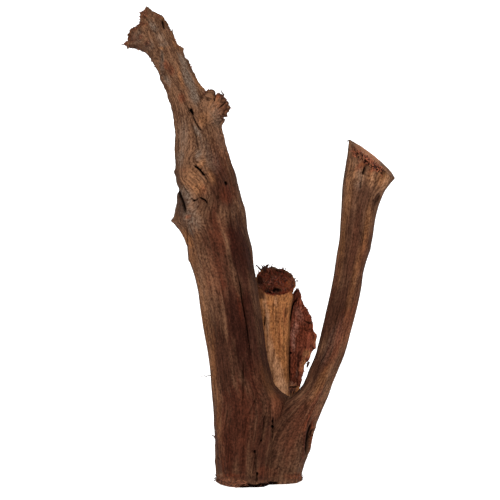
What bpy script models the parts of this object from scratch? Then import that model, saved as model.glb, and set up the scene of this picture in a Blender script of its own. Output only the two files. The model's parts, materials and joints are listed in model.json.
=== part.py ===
"""A forked piece of driftwood that stands on its sawn foot.

Two stems grew side by side and fused into one trunk. Above the fork they part into a tall left limb with
a broken crown and a slimmer right limb that was sawn off at a slant. A third limb, snapped off short,
rises behind the fork, and a plate of old bark stands away from its right side.

Lengths below are in millimetres: x to the right, y away from the front, z up from the foot.
"""

from math import cos, pi, radians, sin

import bmesh
import bpy
from mathutils import Matrix, Vector, noise
from mathutils.bvhtree import BVHTree

MM = 0.001
FORK_HEIGHT = 92.0
FORK_GAP = 0.3
BELOW_FOOT = -6.0
RING_STEP = 7.0
FRONT_OF_ALL = -200.0
CROWN_FROM = 424.0

# Each stem's outline seen from the front: height, left edge, right edge.
LEFT_STEM_EDGES = (
    (-6, -45, 12), (14, -45.5, 12), (28, -46, 14), (58, -47, 25), (78, -48, 29), (84, -48.5, 28),
    (91, -49, 20), (96, -49.5, 14), (104, -50, 11), (114, -51, 8), (130, -53, 5), (154, -57, 2.5),
    (178, -60, -1), (206, -66, -6), (217, -70, -8), (226, -73, -9), (234, -73.5, -10), (242, -76, -12),
    (250, -80, -14), (257, -86, -15), (260.5, -90, -15), (265, -87, -15.5), (274, -86, -17), (281, -84, -20),
    (297, -83, -24), (305, -85, -26), (309.5, -87, -27.5), (314, -85.5, -29), (330, -86, -34), (346, -85, -38),
    (362, -87, -41), (370, -88, -43), (378, -91, -46), (386, -93.5, -49), (393, -96, -56), (402, -100, -64),
    (410, -103, -68), (418, -107, -72), (426, -112, -77), (431, -118, -77.5), (434, -126, -78),
    (436, -135, -80), (438, -138.5, -82), (442, -134.5, -85), (450, -132, -88), (454, -128, -91),
    (457, -122, -93.5), (462, -121.5, -96), (467, -121, -100), (470, -119, -106), (473.5, -115, -111.5),
)
RIGHT_STEM_EDGES = (
    (-9, -22, 41.5), (11, -20, 42.5), (34, -16, 48.5), (50, -6, 52.5), (66, 6, 58.5),
    (80, 22, 64), (84, 29, 66), (90, 37, 68.2), (98, 42, 70.7), (114, 49, 76.8), (130, 55.5, 83),
    (146, 59, 87.5), (162, 63, 92), (178, 66.5, 95.5), (198, 70.7, 99), (210, 72.7, 100.5), (226, 74.7, 105.3),
    (242, 77.3, 109), (258, 78.3, 111.2), (274, 79.3, 114.8), (290, 80.3, 121.7), (297, 80.8, 127),
    (303, 81.6, 132), (321, 84, 145), (350, 88, 158),
)
BACK_LIMB_EDGES = (
    (14, -8, 22), (50, -4, 28), (78, 0, 30), (88, 1.5, 29.5), (104, 1.5, 28.5), (122, 1, 28.5), (146, -0.5, 29),
    (164, -2, 30), (178, -4, 32), (188, -5, 35), (198, -5, 36.5), (208, -5, 34.5), (216, -1, 29), (226, 6, 24),
)
# How each stem runs from front to back: height, middle, half the depth.
LEFT_STEM_DEPTHS = (
    (-6, -2, 36), (40, -1, 35), (92, -3, 29), (140, -5, 26), (200, -1, 25), (258, 7, 30), (296, 11, 27),
    (350, 12, 21), (395, 17, 17.5), (428, 12, 17), (445, 6, 21), (462, 2, 15), (473.5, 1, 4.5),
)
RIGHT_STEM_DEPTHS = (
    (-9, 5, 23), (20, 2, 26), (56, 1, 28), (92, -4, 18), (140, -9, 15), (200, -14, 16), (260, -18, 15.5), (300, -21, 20),
    (350, -24, 25),
)
BACK_LIMB_DEPTHS = (
    (14, 8, 14), (50, 18, 15), (92, 32, 14.5), (140, 36, 15.5), (180, 38, 18), (208, 40, 17.5), (226, 41, 12),
)
# The bark plate: height, left edge, right edge, y at the left edge, y at the right edge.
BARK_PLATE = (
    (56, 10, 27, 24, 13), (88, 21.5, 38.5, 43.5, 27), (104, 24, 42, 47.5, 30), (114, 25, 45, 48.5, 31),
    (120, 25, 49, 49, 31), (128, 25, 52.5, 49.5, 31), (136, 25.5, 56.5, 50, 30), (144, 26, 57.5, 50.5, 30),
    (150, 26.5, 53.5, 51, 32), (156, 27, 53.5, 51.5, 33), (163, 27.5, 51, 52, 35), (171, 28.5, 46, 52.5, 38),
    (178, 29.5, 43.5, 53, 41), (186, 32, 41, 53, 44), (192.5, 36.5, 39.5, 52, 48),
)
BARK_THICKNESS = 4.2
BARK_EDGE_THICKNESS = 1.8
BARK_BOW = 4.5

# The right limb's saw cut and the back limb's break: a point on the plane and the way it faces.
SAW_CUT = ((108.5, -22.0, 321.0), (0.61, -0.27, 0.74))
BREAK = ((16.0, 39.0, 202.0), (0.05, -0.62, 0.79))

# Broken side branches and lumps that stand proud: root x, y, z, end x, y, z, root radius, end radius.
SIDE_BRANCH = ((-58.0, 4.0, 362.5), (-36.5, -1.0, 381.5), 13.0, 9.5)
SIDE_SPUR = ((-56.0, 3.0, 374.0), (-49.5, 1.0, 391.0), 9.0, 4.0)

# Swellings and hollows of the skin: x, z of the middle, radius, height. The first group faces the front.
FRONT_LUMPS = (
    (-71, 302, 17, 7.0), (-66, 276, 12, -3.5), (-61, 250, 16, 3.0), (-40, 290, 14, 2.0),
    (-104, 430, 12, 2.5), (-96, 408, 9, -2.0), (122, 296, 11, 2.5), (103, 300, 9, -2.5), (96, 212, 12, 2.0),
    (-20, 60, 18, 1.5), (38, 30, 16, 2.0), (-30, 14, 14, 1.5),
)
BACK_LUMPS = (
    (-52, 238, 20, 6.0), (-60, 330, 13, -3.0), (-34, 170, 22, -3.5), (-66, 372, 12, 4.0), (-92, 415, 10, -2.0),
    (98, 250, 13, 3.5), (88, 205, 12, -2.0), (-24, 40, 20, 4.0), (-108, 448, 11, 3.0),
)

# Cracks, worm holes and hollows: x, z of the middle, width, length, depth, lean of the length in degrees.
LEFT_LIMB_GOUGES = (
    (-19.0, 184.0, 2.2, 50.0, 7.0, -11.0), (-13.0, 142.0, 2.0, 42.0, 6.0, -8.0),
    (-60.5, 309.5, 3.4, 17.0, 6.0, -47.0), (-58.0, 281.5, 2.8, 10.0, 5.0, -58.0),
    (-36.0, 299.0, 3.6, 4.0, 5.0, 0.0), (-72.0, 371.0, 4.0, 8.0, 7.0, -22.0),
    (-65.0, 356.0, 2.0, 22.0, 4.0, -28.0),
)
TRUNK_GOUGES = (
    (11.5, 56.0, 5.5, 9.0, 8.0, 4.0), (-5.5, 29.5, 4.2, 6.0, 7.0, -20.0), (-4.0, 6.5, 3.8, 5.5, 6.0, 10.0),
    (48.5, 42.0, 5.5, 30.0, 6.0, 6.0),
)
RIGHT_LIMB_GOUGES = (
    (102.5, 312.0, 3.2, 18.0, 7.0, 8.0), (113.0, 285.0, 3.2, 20.0, 4.0, 28.0),
)
BACK_LIMB_GOUGES = ((4.5, 156.0, 2.4, 16.0, 4.0, 0.0),)

# Colours of the dry wood, the fresher back limb and the bark: linear red, green, blue.
TRUNK_BROWN = (0.075, 0.026, 0.013)
LIMB_BROWN = (0.115, 0.047, 0.026)
GREY_BROWN = (0.15, 0.075, 0.048)
TAN = (0.24, 0.095, 0.035)
BARK_RED = (0.11, 0.03, 0.017)


def clear_scene():
    for old in list(bpy.data.objects):
        bpy.data.objects.remove(old)


def between(stations, height):
    """The values at this height, on a smooth curve that never overshoots its stations."""
    heights = [s[0] for s in stations]
    height = min(max(height, heights[0]), heights[-1])
    i = max(k for k in range(len(stations) - 1) if heights[k] <= height)
    step = heights[i + 1] - heights[i]
    t = (height - heights[i]) / step
    values = []
    for column in range(1, len(stations[0])):
        slopes = [
            (stations[k + 1][column] - stations[k][column]) / (heights[k + 1] - heights[k])
            for k in range(len(stations) - 1)
        ]

        def tangent(k):
            if k in (0, len(stations) - 1) or slopes[k - 1] * slopes[k] <= 0:
                return 0.0 if 0 < k < len(stations) - 1 else slopes[min(k, len(slopes) - 1)]
            return 2 * slopes[k - 1] * slopes[k] / (slopes[k - 1] + slopes[k])

        low, high = stations[i][column], stations[i + 1][column]
        values.append(
            low * (1 + 2 * t) * (1 - t) ** 2
            + high * t * t * (3 - 2 * t)
            + tangent(i) * step * t * (1 - t) ** 2
            - tangent(i + 1) * step * t * t * (1 - t)
        )
    return values


def heights_of(stations, low, high, step=RING_STEP):
    """Ring heights from low to high: every station's own, with more where they're far apart."""
    marks = [low] + [s[0] for s in stations if low + 1 < s[0] < high - 1] + [high]
    rings = [low]
    for start, end in zip(marks, marks[1:]):
        count = max(1, round((end - start) / step))
        rings += [start + (end - start) * k / count for k in range(1, count + 1)]
    return rings


def swelling(lumps, x, z):
    """How far these lumps and hollows push the skin out at this place."""
    push = 0.0
    for at_x, at_z, radius, height in lumps:
        distance = ((x - at_x) ** 2 + (z - at_z) ** 2) / radius**2
        push += height * max(0.0, 1 - distance) ** 2
    return push


def stem_ring(edges, depths, height, columns, seed):
    """One level cross-section: a lobed oval whose sides meet the outline seen from the front."""
    left, right = between(edges, height)
    middle, half_depth = between(depths, height)
    oval = []
    for k in range(columns):
        turn = 2 * pi * k / columns
        flute = noise.noise(Vector((1.5 * cos(turn) + seed, 1.5 * sin(turn), height / 95)))
        ridge = noise.noise(Vector((3.6 * cos(turn), 3.6 * sin(turn) + seed, height / 60)))
        reach = 1 + 0.16 * flute + 0.08 * ridge
        oval.append((reach * cos(turn), reach * sin(turn)))
    low, high = min(p[0] for p in oval), max(p[0] for p in oval)
    ring = []
    for across, deep in oval:
        x = left + (across - low) / (high - low) * (right - left)
        y = middle + half_depth * deep
        if deep < 0:
            y -= swelling(FRONT_LUMPS, x, height) * min(1.0, -2 * deep)
        else:
            y += swelling(BACK_LUMPS, x, height) * min(1.0, 2 * deep)
        if height > CROWN_FROM:
            y += 3.5 * noise.noise(Vector((x / 11, y / 11, height / 13)))
        ring.append((x, y, height))
    return ring


def bark_ring(height, points=7):
    """A level cross-section of the bark plate, thin at both edges and bowed away from the front."""
    left, right, left_y, right_y = between(BARK_PLATE, height)
    front, back = [], []
    for k in range(points):
        u = k / (points - 1)
        bulge = 4 * u * (1 - u)
        ripple = 0.9 * noise.noise(Vector((u * 2.2, 7.3, height / 22)))
        x = left + u * (right - left)
        y = left_y + u * (right_y - left_y) + BARK_BOW * bulge + ripple
        half = (BARK_EDGE_THICKNESS + (BARK_THICKNESS - BARK_EDGE_THICKNESS) * bulge) / 2
        front.append((x, y - half, height))
        back.append((x, y + half, height))
    return front + back[::-1]


def loft(name, rings):
    """A closed solid through these rings, all with the same number of points."""
    shape = bmesh.new()
    loops = [[shape.verts.new(Vector(p) * MM) for p in ring] for ring in rings]
    for low, high in zip(loops, loops[1:]):
        for k in range(len(low)):
            after = (k + 1) % len(low)
            shape.faces.new((low[k], low[after], high[after], high[k]))
    for loop in (loops[0], loops[-1]):
        middle = shape.verts.new(sum((v.co for v in loop), Vector()) / len(loop))
        for k in range(len(loop)):
            shape.faces.new((loop[k], loop[(k + 1) % len(loop)], middle))
    bmesh.ops.recalc_face_normals(shape, faces=shape.faces)
    return add_object(name, shape)


def add_object(name, shape):
    mesh = bpy.data.meshes.new(name)
    shape.to_mesh(mesh)
    shape.free()
    made = bpy.data.objects.new(name, mesh)
    bpy.context.scene.collection.objects.link(made)
    return made


def stem(name, edges, depths, low, high, columns, seed):
    heights = heights_of(edges, low, high)
    return loft(name, [stem_ring(edges, depths, z, columns, seed) for z in heights])


def bark(name, low, high):
    return loft(name, [bark_ring(z) for z in heights_of(BARK_PLATE, low, high)])


def broken_branch(name, root, end, root_radius, end_radius, columns=10, rings=5):
    """A short side branch, a little ragged, from inside its limb to its blunt broken end."""
    root, end = Vector(root), Vector(end)
    along = (end - root).normalized()
    across = along.cross(Vector((0, 1, 0))).normalized()
    deep = across.cross(along)
    loops = []
    for i in range(rings):
        t = i / (rings - 1)
        radius = root_radius + (end_radius - root_radius) * t
        loop = []
        for k in range(columns):
            turn = 2 * pi * k / columns
            rough = 1 + 0.22 * noise.noise(Vector((2 * cos(turn), 2 * sin(turn), 3 * t + root.x)))
            ragged = 3.0 * noise.noise(Vector((4 * cos(turn), 4 * sin(turn), root.z))) if i == rings - 1 else 0
            way = cos(turn) * across + sin(turn) * deep
            loop.append(root.lerp(end, t) + way * radius * rough + along * ragged)
        loops.append(loop)
    return loft(name, loops)


def guide(made):
    """Marks a shape that only cuts or joins another, so it isn't a piece of its own."""
    made.hide_render = True
    made.display_type = "WIRE"
    return made


def combine(made, other, operation):
    change = made.modifiers.new(f"{operation.lower()} {other.name}", "BOOLEAN")
    change.operation = operation
    change.object = guide(other)
    change.solver = "EXACT"


def slab(name, low, high, reach=260.0):
    """A level block that keeps what lies between two heights."""
    shape = bmesh.new()
    size = Matrix.Diagonal((2 * reach * MM, 2 * reach * MM, (high - low) * MM, 1))
    middle = Matrix.Translation((0, 0, (low + high) / 2 * MM))
    bmesh.ops.create_cube(shape, size=1, matrix=middle @ size)
    return add_object(name, shape)


def cut_off(made, plane, roughness=0.0):
    """Cuts the limb's end off along a plane and closes it, with a torn face where roughness is given."""
    point, facing = plane
    shape = bmesh.new()
    shape.from_mesh(made.data)
    everything = list(shape.verts) + list(shape.edges) + list(shape.faces)
    bmesh.ops.bisect_plane(
        shape, geom=everything, plane_co=Vector(point) * MM, plane_no=Vector(facing), clear_outer=True
    )
    rim = [e for e in shape.edges if e.is_boundary]
    end = bmesh.ops.holes_fill(shape, edges=rim, sides=0)["faces"]
    bmesh.ops.recalc_face_normals(shape, faces=shape.faces)
    if roughness:
        inner = set()
        for width in (3.5, 4.5):
            bmesh.ops.inset_region(shape, faces=end, thickness=width * MM, use_even_offset=True)
            inner.update(v for face in end for v in face.verts)
        inner.update(bmesh.ops.poke(shape, faces=end)["verts"])
        for v in inner:
            torn = roughness * noise.noise(v.co / MM / 6.5)
            v.co += Vector(facing).normalized() * (torn + roughness / 3) * MM
    shape.to_mesh(made.data)
    shape.free()


def skin_of(*solids):
    """What a ray can hit: the faces of these solids in world space."""
    shape = bmesh.new()
    for solid in solids:
        shape.from_mesh(solid.data)
    tree = BVHTree.FromBMesh(shape)
    shape.free()
    return tree


def gouge(made, skin, gouges):
    """Sinks cracks, holes and hollows into the front, each a long egg centred on the skin."""
    for number, (x, z, width, length, depth, lean) in enumerate(gouges):
        hit, _, _, _ = skin.ray_cast(Vector((x, FRONT_OF_ALL, z)) * MM, Vector((0, 1, 0)))
        shape = bmesh.new()
        bmesh.ops.create_uvsphere(shape, u_segments=6, v_segments=6, radius=1)
        size = Matrix.Diagonal((width / 2 * MM, depth * MM, length / 2 * MM, 1))
        place = Matrix.Translation(hit) @ Matrix.Rotation(radians(lean), 4, "Y") @ size
        bmesh.ops.transform(shape, matrix=place, verts=shape.verts)
        combine(made, add_object(f"{made.name}_gouge_{number + 1}", shape), "DIFFERENCE")


def paint(made, name, colour, roughness):
    finish = bpy.data.materials.new(name)
    finish.use_nodes = True
    shader = finish.node_tree.nodes["Principled BSDF"]
    shader.inputs["Base Color"].default_value = (*colour, 1)
    shader.inputs["Roughness"].default_value = roughness
    shader.inputs["Metallic"].default_value = 0
    made.data.materials.append(finish)
    made.data.shade_smooth()
    made.data.set_sharp_from_angle(angle=radians(40))


def left_stem(name, low, high):
    return stem(name, LEFT_STEM_EDGES, LEFT_STEM_DEPTHS, low, high, 26, 0.0)


def right_stem(name, low, high):
    return stem(name, RIGHT_STEM_EDGES, RIGHT_STEM_DEPTHS, low, high, 20, 4.2)


def back_stem(name, low, high):
    return stem(name, BACK_LIMB_EDGES, BACK_LIMB_DEPTHS, low, high, 18, 8.7)


def make_trunk():
    past_fork = FORK_HEIGHT + 6
    trunk = left_stem("trunk", BELOW_FOOT, past_fork)
    # No two of these end at the same height, so that none of their end faces lie in one plane.
    joined = [
        right_stem("right_stem_foot", BELOW_FOOT - 2.3, past_fork + 1.1),
        back_stem("back_limb_foot", BACK_LIMB_EDGES[0][0], past_fork + 2.7),
        bark("bark_foot", BARK_PLATE[0][0], past_fork + 4.2),
    ]
    skin = skin_of(trunk, *joined)
    for foot in joined:
        combine(trunk, foot, "UNION")
    combine(trunk, slab("foot_to_fork", 0.0, FORK_HEIGHT), "INTERSECT")
    gouge(trunk, skin, TRUNK_GOUGES)
    paint(trunk, "dark weathered heartwood", TRUNK_BROWN, 0.85)


def make_left_limb():
    limb = left_stem("left_limb", FORK_HEIGHT + FORK_GAP, LEFT_STEM_EDGES[-1][0])
    skin = skin_of(limb)
    combine(limb, broken_branch("side_spur", *SIDE_SPUR, columns=9, rings=4), "UNION")
    combine(limb, broken_branch("side_branch", *SIDE_BRANCH), "UNION")
    gouge(limb, skin, LEFT_LIMB_GOUGES)
    paint(limb, "grey brown weathered wood", GREY_BROWN, 0.85)


def make_right_limb():
    limb = right_stem("right_limb", FORK_HEIGHT + FORK_GAP, RIGHT_STEM_EDGES[-1][0])
    cut_off(limb, SAW_CUT)
    gouge(limb, skin_of(limb), RIGHT_LIMB_GOUGES)
    paint(limb, "weathered wood", LIMB_BROWN, 0.85)


def make_back_limb():
    limb = back_stem("back_limb", FORK_HEIGHT + FORK_GAP, BACK_LIMB_EDGES[-1][0])
    cut_off(limb, BREAK, roughness=5.0)
    gouge(limb, skin_of(limb), BACK_LIMB_GOUGES)
    paint(limb, "bare tan wood", TAN, 0.8)


def make_bark_plate():
    plate = bark("bark_plate", FORK_HEIGHT + FORK_GAP, BARK_PLATE[-1][0])
    paint(plate, "red brown bark", BARK_RED, 0.9)


clear_scene()
make_trunk()
make_left_limb()
make_right_limb()
make_back_limb()
make_bark_plate()
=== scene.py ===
"""A forked piece of driftwood that stands on its sawn foot, dressed over its frame of plain solids.

The solids give the limbs' place and size. Here their skin is remade at a fine pitch and carved: fibre,
flutes, cracks, worm holes, knots, torn ends and a saw cut. Lengths in the tables are in millimetres, in
the frame's axes: x to the right, y away from the front, z up from the foot.
"""

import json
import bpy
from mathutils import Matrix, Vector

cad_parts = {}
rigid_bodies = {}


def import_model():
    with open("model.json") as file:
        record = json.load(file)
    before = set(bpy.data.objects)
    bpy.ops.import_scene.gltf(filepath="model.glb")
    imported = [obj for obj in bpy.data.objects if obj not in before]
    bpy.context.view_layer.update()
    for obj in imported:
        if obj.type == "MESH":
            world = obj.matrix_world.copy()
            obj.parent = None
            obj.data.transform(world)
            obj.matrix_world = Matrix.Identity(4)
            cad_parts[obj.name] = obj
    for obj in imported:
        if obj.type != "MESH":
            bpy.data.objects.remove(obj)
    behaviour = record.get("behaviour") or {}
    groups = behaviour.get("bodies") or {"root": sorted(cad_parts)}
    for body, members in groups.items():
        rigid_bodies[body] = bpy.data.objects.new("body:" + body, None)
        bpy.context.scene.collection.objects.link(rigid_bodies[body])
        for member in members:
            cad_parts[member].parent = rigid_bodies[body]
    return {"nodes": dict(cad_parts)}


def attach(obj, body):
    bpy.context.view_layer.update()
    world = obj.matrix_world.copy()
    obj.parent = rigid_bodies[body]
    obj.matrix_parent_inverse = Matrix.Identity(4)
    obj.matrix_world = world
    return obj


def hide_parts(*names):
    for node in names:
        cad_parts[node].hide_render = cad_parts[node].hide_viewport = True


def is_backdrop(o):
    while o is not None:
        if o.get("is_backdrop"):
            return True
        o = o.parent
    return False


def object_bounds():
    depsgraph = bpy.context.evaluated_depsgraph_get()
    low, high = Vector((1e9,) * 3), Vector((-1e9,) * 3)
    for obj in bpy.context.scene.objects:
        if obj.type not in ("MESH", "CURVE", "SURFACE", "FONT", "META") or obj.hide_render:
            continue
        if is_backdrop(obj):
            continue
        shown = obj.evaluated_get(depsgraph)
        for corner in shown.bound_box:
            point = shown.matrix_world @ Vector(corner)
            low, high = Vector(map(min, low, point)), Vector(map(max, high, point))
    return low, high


bl_info = {
    "name": "Standing Driftwood",
    "version": (1, 0, 0),
    "blender": (4, 5, 0),
    "location": "View3D > Sidebar > Driftwood",
    "description": "Carves and finishes a forked piece of driftwood over its frame",
    "category": "Add Mesh",
}

from itertools import product
from math import cos, pi, radians, sin
from types import SimpleNamespace

import bpy
import numpy as np
from bpy.props import FloatProperty, FloatVectorProperty, IntProperty, PointerProperty
from mathutils import Vector
from mathutils.bvhtree import BVHTree

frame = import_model()
FRAME_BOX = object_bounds()

MM = 0.001
NODES = ("trunk", "left_limb", "right_limb", "back_limb", "bark_plate")
TRUNK, LEFT, RIGHT, BACK, BARK = range(5)
PIECES = {
    "trunk": ("fused_trunk", "trunk_wood"),
    "left_limb": ("tall_limb", "grey_brown_wood"),
    "right_limb": ("sawn_limb", "limb_wood"),
    "back_limb": ("snapped_limb", "bare_tan_wood"),
    "bark_plate": ("bark_plate_skin", "old_bark"),
}

# The camera: where the eye is, in millimetres, level and square to the front.
EYE = (-11.0, -1400.0, 231.5)

# Planes of the right limb's saw cut and the back limb's break: a point and the way the face looks.
SAW_CUT = ((108.5, -22.0, 321.0), (0.61, -0.27, 0.74))
BREAK = ((16.0, 39.0, 202.0), (0.05, -0.62, 0.79))
FORK_HEIGHT = 92.0

# How each stem runs where its level sections don't say: inside the trunk, and where a stub or a snag widens
# them. Each row is a height, the middle's x and y, half the width and half the depth.
STEM_STRETCHES = {
    LEFT: (
        ((0, -17, -2, 29, 36), (45, -15, -1, 32, 34), (78, -12, -2, 37, 31)),
        (
            (352, -61, 12, 23, 21), (366, -65, 14, 20, 20), (381, -70.5, 16, 17.5, 19),
            (398, -77.5, 17, 16.5, 17.5),
        ),
        ((426, -92, 12, 17, 17), (438, -98.5, 9, 17, 18), (450, -104, 5, 16.5, 18), (474, -112, 1, 16, 15)),
    ),
    RIGHT: (
        (
            (0, 10, 4, 31, 24), (34, 16, 2, 32, 26), (50, 23, 1, 29, 28), (66, 32, 0, 26, 26),
            (80, 43, -3, 21, 22),
        ),
    ),
    BACK: (((0, 7, 6, 15, 14), (50, 12, 18, 16, 15), (78, 15, 28, 15, 15)),),
}
# The left limb is made as two pieces, to keep each mesh light.
LEFT_SPLIT_HEIGHT = 270.0
# How far apart the stems lie in the fibre's noise, so that no two of them share a pattern.
GRAIN_APART = 700.0
# A crack or a pit as deep as this gets near-black painted shadow inside. A shallower one gets a lighter
# painted shadow.
DARK_DEPTH = 2.4

# Below, places on the front are given as the camera sees them on the plane y = 0: across, up.
# The far edge of the saw cut's face, from its left end to its right end.
SAW_EDGE = ((89.5, 341.0), (123.0, 315.5))
# Leaning ovals around the knot, the torn colour on the snapped limb's front, and the place where the bark
# plate's foot meets the sapwood: across, up, half width, half height, lean in degrees.
KNOT = (-68, 301, 20, 17, -40)
TORN_FRINGE = (17, 198.5, 20, 11.5, 4)
BARK_FOOT = (32.6, 94.8, 4.6, 2.8, 0)
# Cracks: half width, depth, then the points that they run through.
FRONT_CRACKS = (
    # The crown, its slit and its open fibres.
    (1.6, 3.2, (-98.0, 462.4), (-97.4, 458.0), (-96.0, 452.6)),
    (0.8, 1.3, (-118.5, 467.2), (-114.7, 463.0), (-111.5, 458.6)),
    (0.8, 1.2, (-108.4, 452.4), (-105.2, 449.0), (-102.6, 445.4)),
    (0.7, 0.9, (-114.6, 471.0), (-110.6, 465.0), (-107.6, 459.4)),
    (0.7, 0.9, (-105.2, 467.0), (-103.6, 462.6), (-102.4, 457.6)),
    (0.7, 0.8, (-124.6, 452.0), (-119.6, 449.4), (-113.6, 448.0)),
    (0.7, 0.9, (-132.6, 440.6), (-125.0, 441.6), (-118.0, 440.6)),
    (0.8, 1.3, (-98.2, 431.0), (-99.2, 424.6), (-97.8, 417.6)),
    (0.8, 1.0, (-97.8, 414.0), (-95.8, 408.0), (-93.6, 401.0)),
    (0.7, 1.1, (-88.2, 394.0), (-87.4, 385.0)),
    (0.7, 0.9, (-85.0, 424.0), (-79.6, 410.0), (-73.8, 396.0)),
    # The black hole under the neck and the cracks that run down from it.
    (0.8, 1.4, (-74.8, 377.6), (-72.8, 374.4), (-71.2, 372.2)),
    (0.9, 2.4, (-69.0, 367.4), (-66.6, 361.6), (-63.4, 356.4), (-60.8, 352.6), (-58.2, 349.0)),
    (0.8, 1.6, (-58.2, 349.0), (-55.4, 344.4), (-53.4, 338.6)),
    (1.1, 1.5, (-71.2, 363.4), (-67.6, 353.0), (-64.6, 343.8), (-63.0, 335.6), (-62.4, 328.0)),
    # The side branch: its notch and its open end.
    (0.9, 3.0, (-46.2, 386.0), (-46.3, 379.6)),
    (0.8, 1.6, (-36.0, 385.4), (-40.2, 381.0)),
    (0.8, 1.8, (-33.8, 382.0), (-38.8, 378.4)),
    (0.9, 2.4, (-34.4, 380.2), (-39.4, 376.0), (-42.4, 372.8)),
    (0.8, 1.6, (-31.8, 376.6), (-35.4, 375.4)),
    (0.8, 1.5, (-32.6, 373.4), (-37.0, 371.0), (-40.0, 366.6)),
    (0.7, 1.2, (-33.4, 370.0), (-36.0, 368.6)),
    (0.8, 1.2, (-41.0, 367.4), (-40.0, 359.0)),
    (0.7, 1.1, (-54.8, 364.4), (-54.8, 356.0)),
    (0.6, 0.9, (-57.0, 375.5), (-56.7, 370.5), (-55.2, 367.4)),
    # The knot: the crack over it, the one under it, and the dark seams at its left.
    (1.6, 5.4, (-67.0, 316.2), (-61.4, 311.8), (-56.0, 305.2)),
    (0.8, 1.6, (-56.2, 305.2), (-54.0, 301.4), (-53.0, 298.0)),
    (1.2, 3.8, (-61.6, 284.6), (-56.2, 281.6), (-53.2, 277.8)),
    (0.8, 1.3, (-53.2, 277.8), (-50.6, 270.0), (-48.6, 256.0)),
    (0.9, 1.8, (-70.6, 283.6), (-66.0, 281.0), (-62.0, 283.0)),
    (1.9, 3.2, (-83.4, 296.0), (-80.4, 286.4), (-77.2, 276.6), (-75.0, 268.0)),
    (0.8, 1.2, (-80.0, 300.4), (-74.6, 291.0), (-70.4, 284.4)),
    (0.7, 0.8, (-74.0, 308.6), (-68.6, 302.4), (-62.6, 294.0), (-58.0, 288.0)),
    (0.7, 0.8, (-77.4, 303.0), (-71.6, 296.6), (-66.0, 289.0)),
    (0.9, 1.6, (-73.8, 257.4), (-73.8, 246.0), (-72.8, 232.0)),
    (0.7, 0.9, (-47.0, 292.0), (-45.4, 286.0), (-43.6, 279.0)),
    # The long crack down the tall limb, and the thin ones under it.
    (0.6, 1.0, (-28.0, 221.0), (-24.0, 210.4)),
    (0.7, 3.4, (-24.0, 210.4), (-20.4, 193.0), (-19.2, 179.0), (-15.4, 161.4), (-12.2, 139.4), (-9.8, 123.9)),
    (0.7, 1.6, (-17.8, 123.5), (-18.0, 99.0), (-18.2, 85.0), (-18.0, 74.0)),
    (0.7, 1.2, (-4.8, 94.0), (-5.4, 82.5), (-11.2, 70.0), (-14.6, 61.6), (-17.4, 41.0)),
    (0.6, 0.7, (-52.0, 210.0), (-47.0, 168.0), (-43.6, 134.0)),
    (0.6, 0.7, (-36.0, 232.0), (-32.6, 196.0), (-29.0, 160.0)),
    # The seam between the fused stems.
    (1.0, 1.6, (11.8, 64.6), (11.6, 60.0), (11.0, 56.0)),
    (0.7, 1.4, (11.4, 51.6), (11.0, 42.0)),
    (0.7, 1.3, (6.0, 73.0), (2.6, 62.0), (2.0, 50.0), (0.0, 40.6), (-4.6, 32.0)),
    (0.7, 1.3, (-6.0, 29.0), (-6.8, 20.0), (-4.4, 10.0)),
    (0.8, 2.0, (-4.0, 9.0), (-4.4, 0.5)),
    (0.7, 1.0, (18.6, 20.4), (17.0, 14.0), (14.0, 11.0)),
    (0.6, 0.9, (-17.0, 41.0), (-18.0, 22.0), (-18.6, 12.0)),
    (0.7, 1.0, (-3.0, 26.0), (-7.0, 16.0), (-9.6, 5.0)),
    (0.9, 1.6, (-43.6, 26.0), (-41.0, 21.6)),
    (0.7, 0.9, (29.6, 17.0), (29.0, 10.0)),
    (1.6, 2.6, (51.0, 60.0), (47.0, 49.0), (45.0, 38.6), (44.0, 26.5)),
    # The sawn limb.
    (1.7, 3.6, (104.2, 315.4), (103.0, 311.0), (101.6, 306.4)),
    (0.8, 1.7, (101.8, 307.0), (100.2, 300.0), (99.0, 292.0)),
    (0.7, 1.0, (124.6, 308.5), (124.0, 299.5)),
    (1.2, 1.2, (118.4, 287.8), (115.8, 282.6), (112.8, 277.6)),
    (0.7, 1.0, (116.8, 311.0), (114.2, 300.0), (113.4, 291.0)),
    (0.8, 1.0, (84.3, 260.5), (83.0, 247.5), (82.0, 232.0)),
    (0.7, 0.8, (98.0, 290.0), (97.0, 262.0), (96.4, 252.0)),
    (0.7, 0.9, (104.0, 262.0), (101.0, 236.0), (97.0, 210.0)),
    (0.7, 0.9, (88.0, 224.0), (83.0, 190.0), (75.0, 158.0)),
    (0.8, 1.1, (76.0, 158.0), (68.0, 134.0), (56.0, 112.0)),
    # The snapped limb and the bark plate.
    (1.5, 2.8, (3.0, 193.4), (7.5, 190.6), (11.2, 189.8), (14.9, 193.6), (20.4, 191.2)),
    (0.9, 2.6, (3.9, 165.4), (3.6, 155.2)),
    (0.7, 1.0, (24.8, 175.0), (24.4, 165.0)),
    (0.6, 0.7, (18.0, 160.0), (19.0, 132.0)),
    (0.6, 0.7, (12.0, 140.0), (13.6, 112.0)),
    # Along the bark plate's left edge, where it tucks behind the snapped limb: grooves whose dark is painted
    # contact shadow.
    (1.5, 2.6, (37.0, 184.4), (31.8, 175.4), (30.2, 168.5), (28.8, 159.0)),
    (1.1, 1.6, (28.0, 138.0), (28.2, 122.5), (28.2, 100.0)),
    (1.5, 1.1, (42.4, 134.0), (38.5, 127.8), (37.0, 120.6), (37.0, 111.0), (35.6, 101.0)),
    (1.0, 1.5, (42.0, 161.6), (47.0, 158.6), (51.6, 157.0)),
    (0.9, 1.3, (41.0, 153.0), (45.0, 150.6), (49.6, 152.4)),
    (0.7, 1.0, (40.4, 163.0), (41.6, 152.0), (45.4, 142.4)),
    (0.7, 0.9, (34.4, 171.0), (33.6, 158.0), (31.0, 146.0)),
)
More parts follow.
